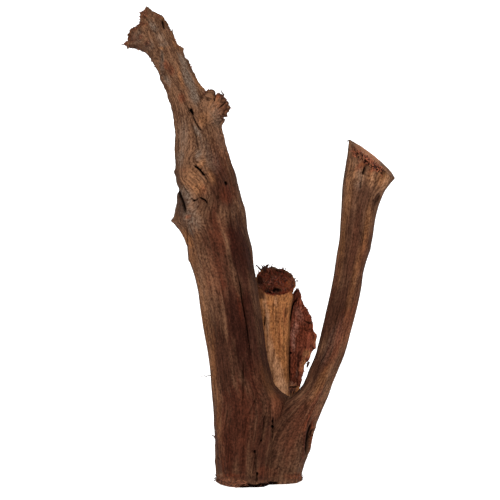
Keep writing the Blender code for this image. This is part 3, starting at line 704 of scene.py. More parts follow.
def as_seen(points):
    """Where the camera sees these points on the plane y = 0: across and up."""
    nearness = EYE[1] / (EYE[1] - points[:, 1])
    across = EYE[0] + (points[:, 0] - EYE[0]) * nearness
    up = EYE[2] + (points[:, 2] - EYE[2]) * nearness
    return np.stack([across, up], axis=1)


def from_line(places, line):
    """Each place's distance from a line through these points, and how far along the line it is, 0 to 1."""
    best, along = np.full(len(places), 1e9), np.zeros(len(places))
    lengths = np.linalg.norm(np.diff(line, axis=0), axis=1)
    before = 0.0
    for start, end, length in zip(line, line[1:], lengths):
        way = end - start
        t = np.clip((places - start) @ way / (way @ way), 0, 1)
        distance = np.linalg.norm(places - start - t[:, None] * way, axis=1)
        nearer = distance < best
        best = np.where(nearer, distance, best)
        along = np.where(nearer, (before + t * length) / lengths.sum(), along)
        before += length
    return best, along


def line_marks(marks, points, places, sided):
    """For each mark drawn as a line: its half width, its depth, and the points near it with their distance
    from it, wavering a little and narrowing to both ends, and how much each point faces the right side."""
    for width, depth, *line in marks:
        line = np.array(line, float)
        reach = 4 * width + 2
        near = np.all((places > line.min(axis=0) - reach) & (places < line.max(axis=0) + reach), axis=1)
        index = np.flatnonzero(near & (sided > 0))
        distance, along = from_line(places[index], line)
        distance = distance + 0.4 * np.abs(rough(points[index] / 3.0, 15))
        taper = np.sqrt(np.clip(np.minimum(along, 1 - along) / 0.18, 0.12, 1))
        yield width, depth, index, distance / (width * taper), taper, sided[index]


def oval(places, across, up, half_width, half_height, lean):
    """How far out each place is from this leaning oval's middle, where its rim is 1."""
    turn = radians(lean)
    x, z = places[:, 0] - across, places[:, 1] - up
    u = (x * cos(turn) - z * sin(turn)) / half_width
    v = (x * sin(turn) + z * cos(turn)) / half_height
    return np.hypot(u, v)


def patch_mask(places, patches, wobble):
    """How strongly these soft-edged leaning ovals cover each place, from 0 to 1."""
    cover = np.zeros(len(places))
    for *shape, strength in patches:
        cover = np.maximum(cover, strength * smoothstep(1.5, 0.35, oval(places, *shape) + wobble))
    return cover


def below_cut(places):
    """How far below the far edge of the saw cut's face each place shows."""
    (left, high), (right, low) = SAW_EDGE
    return high - (places[:, 0] - left) * (high - low) / (right - left) - places[:, 1]


def spot(points, places, sided, across, up):
    """The middle of the wood that is nearest to this place on the side that it is seen from."""
    away = np.hypot(places[:, 0] - across, places[:, 1] - up) + 1000 * (sided <= 0)
    return points[np.argpartition(away, 12)[:12]].mean(axis=0)


def turned(points, moved, places, sided, swirls):
    """The points as the turning fibre sees them, and how far the fibre leans there, in radians."""
    lean = np.zeros(len(points))
    for across, up, radius, pivot_across, pivot_up, angle in swirls:
        middle = spot(points, places, sided, across, up)
        pivot = spot(points, places, sided, pivot_across, pivot_up)
        turn = radians(angle) * smoothstep(1.5, 0.2, np.linalg.norm(points - middle, axis=1) / radius)
        x, z = moved[:, 0] - pivot[0], moved[:, 2] - pivot[2]
        moved[:, 0] = pivot[0] + x * np.cos(turn) - z * np.sin(turn)
        moved[:, 2] = pivot[2] + x * np.sin(turn) + z * np.cos(turn)
        lean += turn
    return moved, lean


def plane_mask(points, normals, plane, depth, facing):
    """1 on the face that a cut or break left, 0 elsewhere."""
    point, way = np.array(plane[0]), np.array(plane[1]) / np.linalg.norm(plane[1])
    on = smoothstep(-depth, -depth / 2, (points - point) @ way)
    return on * smoothstep(facing - 0.2, facing, normals @ way)


def relaxed(skin, owner):
    """Takes the facets off the skin and keeps its sawn and broken edges."""
    points = skin.points
    height = points[:, 2]
    near_saw = (points - np.array(SAW_CUT[0])) @ np.array(SAW_CUT[1]) > -2.2
    branch = (points[:, 0] > -50) & (height > 362) & (height < 400)
    hold = np.zeros(len(points))
    hold[height < 1.2] = 1
    hold[(owner == RIGHT) & near_saw] = 0.9
    hold[owner == BARK] = 0.85
    under_bark = (points[:, 0] > 26) & (points[:, 0] < 40) & (points[:, 1] > 4)
    under_bark &= (height > 80) & (height < 93)
    hold[under_bark] = 0.8
    hold[(owner == LEFT) & branch] = 0.6
    hold[(owner == LEFT) & (height > 428)] = 0.88
    hold[(owner == BACK) & (height > 192)] = 0.6
    skin.smooth(32, hold)
    points[points[:, 2] < 0.5, 2] = 0.0


def terraces(values):
    """Turns a slope into level steps with short risers."""
    whole = np.floor(values)
    return whole + smoothstep(0.25, 0.6, values - whole)


def grown(points, owner, turning, lean):
    """Each point's stem, its place in the fibre, the fibre's way, and the seams of the fused stems."""
    out = np.full((len(NODES), len(points)), 9.0)
    places, ways = {}, {}
    for limb in (LEFT, RIGHT, BACK):
        course = stem_course(limb)
        places[limb], _ = stem_place(course, turning)
        _, out[limb] = stem_place(course, points)
        ways[limb] = stem_way(course, points, lean)
    stem = np.where(owner == TRUNK, np.argmin(out, axis=0), owner)
    stem[owner == BARK] = BACK
    grain, way = np.zeros_like(points), np.zeros_like(points)
    for limb in (LEFT, RIGHT, BACK):
        mine = stem == limb
        grain[mine] = places[limb][mine] + np.array((0, 0, GRAIN_APART * limb))
        way[mine] = ways[limb][mine]
    closest = np.sort(out, axis=0)
    seam = smoothstep(0.16, 0.0, closest[1] - closest[0]) * (owner == TRUNK)
    return stem, grain, way, seam


def surveyed(skin, owner):
    """What the carving needs to know of each point: where it shows, its face, its stem and its fibre."""
    points, normals = skin.points, skin.normals()
    height = points[:, 2]
    seen, behind = as_seen(points), points[:, [0, 2]]
    facing = smoothstep(0.22, -0.04, normals[:, 1])
    backward = 1 - facing

    foot = height < 0.01
    saw = plane_mask(points, normals, SAW_CUT, 1.2, 0.8) * (owner == RIGHT)
    saw *= smoothstep(6.4, 4.6, below_cut(seen))
    torn = plane_mask(points, normals, BREAK, 7.0, 0.82) * (owner == BACK)
    torn = np.where(torn > 0, smoothstep(0.25, 0.75, torn + 0.45 * rough(points / 2.6, 28)), 0)
    cut = np.maximum(saw, foot)
    side = (1 - cut) * (1 - torn)

    turning, lean = turned(points, points.copy(), seen, facing, FRONT_SWIRLS)
    turning, back_lean = turned(points, turning, behind, backward, BACK_SWIRLS)
    stem, grain, way, seam = grown(points, owner, turning, lean + back_lean)
    # Where the fibre runs out through the surface, the wood is broken end grain.
    end_grain = smoothstep(0.5, 0.85, np.einsum("ij,ij->i", normals, way)) * side * (owner == LEFT)

    wobble = 0.4 * rough(grain / (5, 5, 26), 16) + 0.25 * rough(grain / (1.8, 1.8, 12), 17)
    wobble += 0.35 * rough(grain / (11, 11, 55), 32)
    deep = patch_mask(seen, DEEP_PATCHES, wobble) * facing
    deep = np.maximum(deep, smoothstep(330, 120, height) * backward * 0.8)
    return SimpleNamespace(
        points=points, normals=normals, owner=owner, bark=(owner == BARK).astype(float),
        seen=seen, behind=behind, facing=facing, backward=backward,
        foot=foot, saw=saw, torn=torn, cut=cut, side=side,
        stem=stem, grain=grain, seam=seam, end_grain=end_grain, wobble=wobble, deep=deep)


def side_relief(wood, settings):
    """The height of the flutes, fibre and flakes on the sides, and the painted shadow in the drying cracks
    and the stems' seams.
    """
    points, owner, grain, side, bark = wood.points, wood.owner, wood.grain, wood.side, wood.bark
    height = points[:, 2]
    worn = 1 - 0.6 * wood.deep
    crown = smoothstep(420, 440, height)
    relief = 0.6 - 0.75 * crown + (1.0 - 0.5 * crown) * rough(grain / (15, 15, 60), 1) * side
    flute = grooves(grain / (6.5, 6.5, 90), 2) ** 1.5
    patchy = smoothstep(-0.25, 0.45, rough(grain / (26, 26, 70), 3))
    ribs = settings.flute_depth / MM * (flute - 0.7) * (0.35 + 0.65 * patchy) * worn
    fibre = rough(grain / (2.4, 2.4, 38), 4) + 0.5 * rough(grain / (1.8, 1.8, 24), 5)
    ribs += settings.fibre_depth / MM * fibre * (0.5 + 0.5 * worn)
    ribs *= 1 - 0.5 * smoothstep(1.2, 0.4, oval(wood.seen, *KNOT)) * wood.facing
    split = grooves(grain / (9, 9, 60), 6)
    checks = smoothstep(0.14, 0.0, split) * smoothstep(0.1, 0.5, rough(grain / (14, 14, 45), 7)) * (1 - bark)
    relief += side * (ribs * (1 - 0.5 * bark) - 0.9 * checks * worn - 0.3 * wood.seam)
    crumbly = smoothstep(230, 400, height) * (owner == LEFT) * side
    relief += crumbly * (0.45 * rough(points / (3, 3, 5), 8) + 0.55 * rough(points / (1.9, 1.9, 3.2), 20))
    relief += wood.end_grain * (0.9 * rough(points / 2.3, 21) + 0.5 * rough(points / 1.3, 22))
    flakes = terraces(2.2 * rough(grain / (8, 8, 22), 9) + 1.1 * rough(grain / (4, 4, 9), 23))
    relief += bark * (flakes + 0.4 * rough(points / 1.7, 24))
    foot_rim = smoothstep(9, 1.5, height) * (owner == TRUNK) * side
    relief += foot_rim * (0.8 * rough(points / (4, 4, 9), 10) + 0.5 * rough(points / 1.8, 11))
    return relief, side * (0.5 * checks * worn + 0.15 * wood.seam)


def tear_ends(wood, relief):
    """Tears the snapped end, the saw cut's near edge and the foot's front rim: adds to the relief, and gives
    how far the wood goes in from the front and the painted shadow there."""
    points, torn, seen, facing = wood.points, wood.torn, wood.seen, wood.facing
    relief += torn * (1.9 * rough(points / 4.6, 12) + 1.5 * rough(points / 2.0, 13) - 2.3)
    rim = np.linalg.norm(points - np.array(BREAK[0]), axis=1) / 20
    relief -= torn * 2.6 * smoothstep(0.95, 0.2, rim)
    hollows = smoothstep(0.3, 0.05, grooves(points / (5.0, 5.0, 4.0), 26)) * torn
    relief -= 2.0 * hollows
    relief += wood.saw * 0.25 * rough(points / (30, 3, 30), 14)
    # The band of torn fibre under the saw cut's near edge, with gaps in it that get painted shadow.
    below = below_cut(seen)
    band = smoothstep(3.6, 5.4, below) * smoothstep(12.5, 10.0, below) * (wood.owner == RIGHT) * facing
    band *= smoothstep(89, 96, seen[:, 0]) * smoothstep(126, 121, seen[:, 0])
    relief += band * (0.9 * rough(points / 1.7, 29) + 0.5 * rough(points / 0.9, 30))
    gaps = band * smoothstep(-0.22, 0.02, rough(points / (2.2, 2.2, 2.8), 27))
    gaps *= 0.45 * smoothstep(90, 100, seen[:, 0]) + 0.55
    # The foot's front rim is chipped away underneath, and the undercut gets painted shadow.
    wave = 1.2 * rough(points / 6.0, 25)
    chip = smoothstep(3.4, 2.6, points[:, 2] + wave) * facing * smoothstep(-12, -20, points[:, 1])
    chip *= smoothstep(-24, -19, seen[:, 0]) * smoothstep(19, 15, seen[:, 0])
    return 3.4 * chip + 1.2 * gaps, np.maximum(chip, np.maximum(0.75 * hollows, 0.95 * gaps))


def carve_marks(wood, depth_share, relief, inward, painted_crack_shadow):
    """Adds the placed cracks, ridges, pits and nubs to the relief, the inward move and the cracks' painted
    shadow.
    """
    points, seen, facing = wood.points, wood.seen, wood.facing
    in_front, at_back = (seen, facing, 1), (wood.behind, wood.backward, -1)
    for marks, (where, sided, sense) in ((FRONT_CRACKS, in_front), (BACK_CRACKS, at_back)):
        for _, depth, index, distance, taper, share in line_marks(marks, points, where, sided):
            gap = smoothstep(1.2, 0.2, distance) * share
            lip = np.exp(-((distance - 2.1) / 0.8) ** 2) * share
            relief[index] += depth_share * depth * taper * (0.10 * lip - 0.4 * gap)
            inward[index] += 0.6 * sense * depth_share * depth * taper * gap
            shade = smoothstep(1.05, 0.35, distance) * share * min(1.0, depth / DARK_DEPTH) * taper
            painted_crack_shadow[index] = np.maximum(painted_crack_shadow[index], shade)
    for _, rise, index, distance, taper, share in line_marks(FRONT_RIDGES, points, seen, facing):
        relief[index] += rise * taper * np.exp(-distance ** 2) * share
    for marks, (where, sided, sense) in ((FRONT_PITS, in_front), (BACK_PITS, at_back)):
        for *shape, depth in marks:
            out_by = oval(where, *shape)
            inward += sense * depth_share * depth * np.exp(-out_by ** 6) * sided
            shade = min(1.0, depth / DARK_DEPTH) * smoothstep(1.2, 0.85, out_by) * sided
            np.maximum(painted_crack_shadow, shade, out=painted_crack_shadow)
    # The bark plate's foot is closed where it meets the sapwood.
    plug = np.exp(-oval(seen, *BARK_FOOT) ** 4) * (wood.normals[:, 1] < 0.3) * (points[:, 1] > 0)
    foremost = np.quantile(points[plug > 0.6, 1], 0.15)
    inward -= plug * np.clip(points[:, 1] - foremost - 0.6, 0, 9)
    for across, up, radius, rise in NUBS:
        distance = np.hypot(seen[:, 0] - across, seen[:, 1] - up)
        relief += rise * np.exp(-(distance / radius) ** 2) * (1 - wood.cut)


def stains(wood, painted_crack_shadow):
    """How strongly each stain, cut, tear, painted shadow and painted light of the finish covers each point,
    from 0 to 1.
    """
    points, owner, stem, side, grain = wood.points, wood.owner, wood.stem, wood.side, wood.grain
    seen, facing, backward, end_grain = wood.seen, wood.facing, wood.backward, wood.end_grain
    turned_away = wood.normals[:, 1]
    height = points[:, 2]

    def shown(patches):
        """How strongly these patches cover the front."""
        return patch_mask(seen, patches, wood.wobble) * facing

    # Painted shade: the sides that face neither the front nor the back are darkened, in streaks, as they
    # would be less lit.
    painted_flank_shade = smoothstep(0.52, 0.14, np.abs(turned_away)) * side
    painted_flank_shade *= smoothstep(-0.7, -0.1, rough(grain / (9, 9, 30), 31))
    # The dark stain and the painted edge shade of the stems in front end sharply where the sapwood behind
    # them begins.
    sapwood = (owner == BACK) | ((owner == TRUNK) & (stem == BACK))
    dark = shown(DARK_STAIN_AND_SHADE_PATCHES)
    dark *= 1 - sapwood * (seen[:, 0] < 22) * (height < 182)
    # The torn wood's colour runs out unevenly over the limb's front.
    fringe = 0.95 - oval(seen, *TORN_FRINGE) + 0.5 * rough(points / (3.4, 3.4, 5.0), 33)
    torn = np.maximum(wood.torn, smoothstep(0.0, 0.35, fringe) * (owner == BACK) * facing)
    # Beside the sapwood, the pale fibre and the painted light stay on the sapwood itself.
    pale = shown(PALE_FIBRE_AND_LIGHT_PATCHES)
    pale *= 1 - (stem != BACK) * (seen[:, 0] > -4) * (seen[:, 0] < 27) * (height > 76) * (height < 200)
    # Painted shade on the crown's and the side branch's broken flanks, in the end grain's colour.
    painted_broken_edge_shade = smoothstep(395, 430, height) + smoothstep(-50, -42, seen[:, 0]) * (height > 360)
    painted_broken_edge_shade = np.clip(painted_broken_edge_shade, 0, 1) * (owner == LEFT) * painted_flank_shade
    back_grey = smoothstep(0.25, 0.6, rough(grain / (12, 12, 60), 18)) * backward * 0.7
    back_dark = smoothstep(0.2, 0.6, rough(grain / (10, 10, 90), 19)) * backward * 0.6
    bare_foot = (owner == TRUNK) * (stem == BACK) * facing
    bare = np.where(owner == BACK, smoothstep(0.2, -0.1, turned_away), bare_foot)
    # The saw cut's tone ends short of the limb's left and right edges.
    sawn = wood.cut * smoothstep(119.5, 116.5, seen[:, 0]) * smoothstep(92.5, 97, seen[:, 0])
    return {
        "deep": wood.deep,
        "grey": np.maximum(shown(GREY_PATCHES), back_grey),
        "tan": shown(TAN_PATCHES),
        "pale": pale,
        "red": np.maximum(shown(RED_PATCHES), 0.7 * end_grain),
        # Dark: stains, the painted shade of some patches, and the painted flank shade.
        "dark": np.maximum(np.maximum(dark, back_dark), 0.8 * painted_flank_shade * (1 - wood.bark)),
        "painted_crack_shadow": np.clip(painted_crack_shadow, 0, 1),
        "cut": np.where(owner == RIGHT, sawn, wood.cut),
        "torn": torn,
        "bare": bare * (1 - torn),
        # Open end grain, and the painted edge shade on the crown.
        "end": np.maximum(end_grain, 0.8 * painted_broken_edge_shade),
    }


def carved(settings):
    """The wood's skin with all its relief, and the marks that its finish follows."""
    skin, owner = wood_blank(settings.voxel)
    relaxed(skin, owner)
    wood = surveyed(skin, owner)
    relief, painted_crack_shadow = side_relief(wood, settings)
    inward, shade = tear_ends(wood, relief)
    painted_crack_shadow = np.maximum(painted_crack_shadow, shade)
    carve_marks(wood, settings.crack_depth, relief, inward, painted_crack_shadow)

    points = skin.points
    relief[wood.foot] = 0
    inward[wood.foot] = 0
    points += wood.normals * relief[:, None]
    points[:, 1] += inward
    points[wood.foot, 2] = 0.0
    points[:, 2] = np.maximum(points[:, 2], 0.0)
    return skin, owner, wood.grain, stains(wood, painted_crack_shadow)


def shares_of(skin, owner):
    """What each piece takes of the skin: the node, the piece's name ending, its points and its faces."""
    face_owner = owner[skin.quads[:, 0]]
    upper = skin.points[skin.quads[:, 0], 2] > LEFT_SPLIT_HEIGHT
    for index, node in enumerate(NODES):
        parts = {"": face_owner == index}
        if index == LEFT:
            parts = {"_upper": parts[""] & upper, "_lower": parts[""] & ~upper}
        for ending, chosen in parts.items():
            used, local = np.unique(skin.quads[chosen], return_inverse=True)
            yield node, ending, used, local.reshape(-1, 4)


def caps(points, quads):
    """Fans that close the open ends, each around a new middle point: the new points and triangles."""
    starts = quads.ravel()
    ends = np.roll(quads, -1, axis=1).ravel()
    count = len(points)
    open_sides = ~np.isin(starts * count + ends, ends * count + starts)
    rim = {}
    for start, end in zip(starts[open_sides].tolist(), ends[open_sides].tolist()):
        rim.setdefault(end, []).append(start)
    middles, triangles = [], []
    while rim:
        here = next(iter(rim))
        loop = []
        while here in rim:
            loop.append(here)
            onward = rim[here].pop()
            if not rim[here]:
                del rim[here]
            here = onward
        number = count + len(middles)
        middles.append(points[loop].mean(axis=0))
        triangles += [(a, b, number) for a, b in zip(loop, loop[1:] + loop[:1])]
    return np.array(middles).reshape(-1, 3), triangles


def add_node(tree, kind, inputs=None, **settings):
    """Adds a node with its settings, its input values and its links from other nodes' sockets."""
    node = tree.nodes.new(kind)
    for name, value in settings.items():
        setattr(node, name, value)
    for key, value in (inputs or {}).items():
        if isinstance(value, bpy.types.NodeSocket):
            tree.links.new(value, node.inputs[key])
        else:
            node.inputs[key].default_value = value
    return node


def set_stops(ramp, *stops):
    """Places a colour ramp's stops, each a position and a linear colour."""
    elements = ramp.color_ramp.elements
    while len(elements) < len(stops):
        elements.new(1.0)
    for element, (position, colour) in zip(elements, stops):
        element.position = position
        element.color = (*colour[:3], 1)


def tones_of(colour):
    """A wood colour's dark, main and pale tones."""
    dark = [c * k for c, k in zip(colour, (0.42, 0.37, 0.35))]
    pale = [c * k for c, k in zip(colour, (1.74, 1.76, 1.74))]
    return dark, list(colour), pale


def wood_material(name, finish, base, deep, pale_stain):
    """Weathered wood: fibre streaks along the grain, stains and painted shade by the carved marks, painted
    light on the sapwood, and a dry, rough face.
    """
    material = bpy.data.materials.new(name)
    material.use_nodes = True
    tree = material.node_tree
    tree.nodes.clear()
    grain = add_node(tree, "ShaderNodeAttribute", attribute_name="grain").outputs["Vector"]
    marks = {
        mask: add_node(tree, "ShaderNodeAttribute", attribute_name=mask).outputs["Fac"]
        for mask in ("deep", "grey", "tan", "pale", "red", "dark", "painted_crack_shadow", "cut", "torn", "bare", "end")
    }

    def stretched(across_mm, along_mm, detail, roughness=0.6, distortion=0.0):
        """Noise with cells this wide across the fibre and this long along it."""
        scale = (1 / across_mm, 1 / across_mm, 1 / along_mm)
        fitted = add_node(tree, "ShaderNodeVectorMath", {0: grain, 1: scale}, operation="MULTIPLY")
        noise = add_node(
            tree, "ShaderNodeTexNoise",
            {"Vector": fitted.outputs[0], "Scale": 1.0, "Detail": detail, "Roughness": roughness,
             "Distortion": distortion},
        )
        return noise.outputs["Fac"]

    def sum_of(*parts):
        """Adds socket-and-weight pairs up."""
        total = None
        for socket, weight in parts:
            scaled = add_node(tree, "ShaderNodeMath", {0: socket, 1: weight}, operation="MULTIPLY").outputs[0]
            total = scaled if total is None else add_node(
                tree, "ShaderNodeMath", {0: total, 1: scaled}, operation="ADD").outputs[0]
        return total

    def blended(under, over, factor):
        mix = add_node(tree, "ShaderNodeMix", {0: factor, 6: under, 7: over}, data_type="RGBA")
        return mix.outputs[2]

    def times(a, b):
        return add_node(tree, "ShaderNodeMath", {0: a, 1: b}, operation="MULTIPLY", use_clamp=True).outputs[0]

    def between(socket, low, high, out_low=0.0, out_high=1.0):
        fitted = add_node(
            tree, "ShaderNodeMapRange",
            {"Value": socket, "From Min": low, "From Max": high, "To Min": out_low, "To Max": out_high},
            interpolation_type="SMOOTHSTEP",
        )
        return fitted.outputs["Result"]

    # Real fibres are 0.1 to 0.3 mm wide. The finest streaks are drawn 1.1 mm wide, so that they show.
    fine = stretched(1.1, 12, 2, 0.55)
    streak = stretched(2.3, 42, 3, 0.6)
    band = stretched(8.0, 110, 3, 0.55, 0.4)
    blotch = stretched(13.0, 26, 4, 0.6)
    grit = stretched(1.4, 2.3, 2, 0.6)
    mottle = stretched(3.0, 6.0, 3, 0.65)

    mixed = sum_of((fine, 0.18), (streak, 0.24), (band, 0.14), (blotch, 0.12), (grit, 0.32))
    # The weathered wood is coarser in tone than the smooth heartwood.
    spread = between(marks["deep"], 0.0, 1.0, 1.5, 1.02)
    offset = add_node(tree, "ShaderNodeMath", {0: mixed, 1: 0.5}, operation="SUBTRACT").outputs[0]
    tone = add_node(
        tree, "ShaderNodeMath", {0: offset, 1: spread, 2: 0.5}, operation="MULTIPLY_ADD",
    ).outputs[0]

    def toned(colour, noise, contrast=0.09):
        """The dark, main and pale tones of a colour, laid out by a noise."""
        dark, main, pale = tones_of(colour)
        ramp = add_node(tree, "ShaderNodeValToRGB", {"Fac": noise})
        set_stops(ramp, (0.5 - contrast, dark), (0.5, main), (0.5 + contrast, pale))
        return ramp.outputs["Color"]

    def stain(colour, mark, stain_colour, strength, noise=tone, contrast=0.09):
        """A stain in its own tones, broken up along the fibre."""
        broken = times(mark, between(noise, 0.35, 0.58, 0.6, 1.0))
        return blended(colour, toned(stain_colour, noise, contrast), times(broken, strength))

    colour = blended(toned(base, tone), toned(deep, tone), marks["deep"])
    tan_tone = sum_of((grit, 0.32), (fine, 0.16), (mottle, 0.18), (streak, 0.2), (blotch, 0.14))
    colour = stain(colour, marks["bare"], finish.sapwood, 1.0, tan_tone, 0.10)
    colour = stain(colour, marks["torn"], finish.torn, 1.0, mottle, 0.11)
    colour = stain(colour, marks["cut"], finish.sawn, 1.0, mottle, 0.3)
    colour = stain(colour, marks["tan"], finish.tan, 0.8, tone, 0.13)
    colour = stain(colour, marks["grey"], pale_stain, 0.72, grit, 0.16)
    # Pale fibre, and painted light on the sapwood beside the tall limb.
    colour = stain(colour, marks["pale"], finish.pale, 0.8, tan_tone, 0.12)
    colour = stain(colour, marks["red"], finish.red, 0.6)
    # The dark mask: stain, with painted shade on the flanks and at the edges given in its patches.
    colour = stain(colour, marks["dark"], finish.dark, 0.78)
    # Open end grain is darker; the same colour paints shade on the crown's broken flanks.
    broken = times(marks["end"], between(grit, 0.5, 0.62, 0.0, 0.8))
    colour = blended(colour, (*linear(END_GRAIN_AND_EDGE_SHADE_COLOUR), 1), broken)
    # Pores: short dark dashes, a few millimetres long.
    pores = between(stretched(0.9, 5.0, 1, 0.5), 0.62, 0.72)
    colour = blended(colour, (*linear(PORE_SHADE), 1), times(pores, 0.22))
    # Painted shadow: cracks, pits, seams, torn hollows and the chipped rim are coloured near black, and lose
    # their sheen.
    colour = blended(colour, (*linear(PAINTED_CRACK_SHADOW_COLOUR), 1), times(marks["painted_crack_shadow"], 0.96))

    height = sum_of((fine, 0.5), (streak, 0.6), (grit, 0.6), (mottle, 0.3), (pores, -0.2))
    bump = add_node(tree, "ShaderNodeBump", {"Height": height, "Distance": 0.0012, "Strength": 0.9})
    roughness = between(tone, 0.3, 0.7, 0.92, 0.74)
    # Dry wood with no finish: a weak, wide sheen.
    shader = add_node(
        tree, "ShaderNodeBsdfPrincipled",
        {"Base Color": colour, "Roughness": roughness, "Normal": bump.outputs["Normal"],
         "Specular IOR Level": between(marks["painted_crack_shadow"], 0.0, 0.8, 0.035, 0.0), "IOR": 1.45},
    )
    add_node(tree, "ShaderNodeOutputMaterial", {"Surface": shader.outputs["BSDF"]})
    return material


def fibre_material(name, low, high):
    """Loose wood fibre, each strand its own tone from its place along the bunch."""
    material = bpy.data.materials.new(name)
    material.use_nodes = True
    tree = material.node_tree
    tree.nodes.clear()
    tone = add_node(tree, "ShaderNodeAttribute", attribute_name="strand").outputs["Fac"]
    ramp = add_node(tree, "ShaderNodeValToRGB", {"Fac": tone})
    set_stops(ramp, (0.0, linear(low)), (1.0, linear(high)))
    shader = add_node(
        tree, "ShaderNodeBsdfPrincipled",
        {"Base Color": ramp.outputs["Color"], "Roughness": 0.8, "Specular IOR Level": 0.25},
    )
    add_node(tree, "ShaderNodeOutputMaterial", {"Surface": shader.outputs["BSDF"]})
    return material


def new_piece(name, points, faces, slot, material, smooth=True):
    """A mesh piece, from points in millimetres, that rides on the object's one body."""
    mesh = bpy.data.meshes.new(name)
    mesh.from_pydata((np.asarray(points) * MM).tolist(), [], faces)
    mesh.validate()
    if smooth:
        mesh.shade_smooth()
    mesh.materials.append(material)
    piece = bpy.data.objects.new(name, mesh)
    bpy.context.scene.collection.objects.link(piece)
    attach(piece, "root")
    return piece


def set_attribute(mesh, name, values, kind="FLOAT"):
    layer = mesh.attributes.new(name, kind, "POINT")
    values = np.asarray(values, np.float32)
    layer.data.foreach_set("vector" if kind == "FLOAT_VECTOR" else "value", values.ravel())


def strand(course, radius, sides=4):
    """A tapered tube along these points: its points and faces."""
    course = np.asarray(course, float)
    ways = np.gradient(course, axis=0)
    ways /= np.linalg.norm(ways, axis=1)[:, None]
    side = np.cross(ways, (0.31, 0.17, 0.93))
    side /= np.linalg.norm(side, axis=1)[:, None]
    other = np.cross(ways, side)
    points, faces = [], []
    for i, place in enumerate(course):
        t = i / (len(course) - 1)
        thickness = radius * (1 - 0.5 * t ** 3)
        for k in range(sides):
            turn = 2 * pi * k / sides
            points.append(place + thickness * (cos(turn) * side[i] + sin(turn) * other[i]))
    for i in range(len(course) - 1):
        for k in range(sides):
            a, b = i * sides + k, i * sides + (k + 1) % sides
            faces.append((a, b, b + sides, a + sides))
    faces.append(tuple(range(sides))[::-1])
    faces.append(tuple(range((len(course) - 1) * sides, len(course) * sides)))
    return points, faces


def bundle(name, courses, slot, material, seed):
    """Many strands as one piece: each is its points, its radius and, if it isn't drawn, its tone."""
    draw = np.random.default_rng(seed)
    points, faces, tones = [], [], []
    for course, radius, *tone in courses:
        made, around = strand(course, radius)
        faces += [tuple(i + len(points) for i in face) for face in around]
        points += made
        tones += (tone or [draw.random()]) * len(made)
    piece = new_piece(name, points, faces, slot, material)
    set_attribute(piece.data, "strand", tones)
    return piece


def curl(draw, root, way, length, bend, points=7):
    """A loose fibre from its root, setting off this way and bending as it goes."""
    way = np.asarray(way, float) / np.linalg.norm(way)
    turn = np.cross(way, draw.normal(size=3))
    turn /= np.linalg.norm(turn)
    course = [np.asarray(root, float)]
    for _ in range(points - 1):
        way = way + turn * bend / points + 0.12 * draw.normal(size=3)
        way /= np.linalg.norm(way)
        course.append(course[-1] + way * length / (points - 1))
    return course


def surface_of(*names):
    """The points, in millimetres, and the normals of these made pieces together."""
    points, normals = [], []
    for name in names:
        mesh = bpy.data.objects[name].data
        for found, kind in ((points, "co"), (normals, "normal")):
            values = np.empty(len(mesh.vertices) * 3, np.float32)
            mesh.vertices.foreach_get(kind, values)
            found.append(values.reshape(-1, 3).astype(float))
    return np.concatenate(points) / MM, np.concatenate(normals)


def drawn_strands(*nodes):
    """The strands of these nodes that the photo shows, set at their root's depth: points and radius."""
    courses = []
    for node, radius, *line in STRANDS:
        if node in nodes:
            ending = ""
            if node == "left_limb":
                ending = "_upper" if line[0][1] > LEFT_SPLIT_HEIGHT else "_lower"
            points, _ = surface_of(PIECES[node][0] + ending)
            seen = as_seen(points)
            root = points[np.argmin(np.hypot(seen[:, 0] - line[0][0], seen[:, 1] - line[0][1]))]
            scale = 1 - root[1] / EYE[1]
            course = [
                (EYE[0] + (across - EYE[0]) * scale, root[1] - 0.3 * step, EYE[2] + (up - EYE[2]) * scale)
                for step, (across, up) in enumerate(line)
            ]
            courses.append((course, STRAND_THICKENING * radius, STRAND_TONE))
    return courses


def mark_of(name, mark):
    data = bpy.data.objects[name].data.attributes[mark].data
    values = np.empty(len(data), np.float32)
    data.foreach_get("value", values)
    return values


class DriftwoodRelief(bpy.types.PropertyGroup):
    """How finely and how deeply the wood is carved."""

    voxel: FloatProperty(
        name="Mesh pitch", description="Width of the wood mesh's quads", default=0.0007, min=0.0006,
        max=0.004, precision=5, unit="LENGTH")
    flute_depth: FloatProperty(
        name="Flute depth", description="Depth of the long flutes between ridges", default=0.0010, min=0,
        max=0.004, precision=5, unit="LENGTH")
    fibre_depth: FloatProperty(
        name="Fibre depth", description="Height of the weathered fibre", default=0.0004, min=0, max=0.002,
        precision=5, unit="LENGTH")
    crack_depth: FloatProperty(
        name="Crack depth", description="How deep cracks and pits go, as a share of their own depth",
        default=1.0, min=0, max=2, subtype="FACTOR")


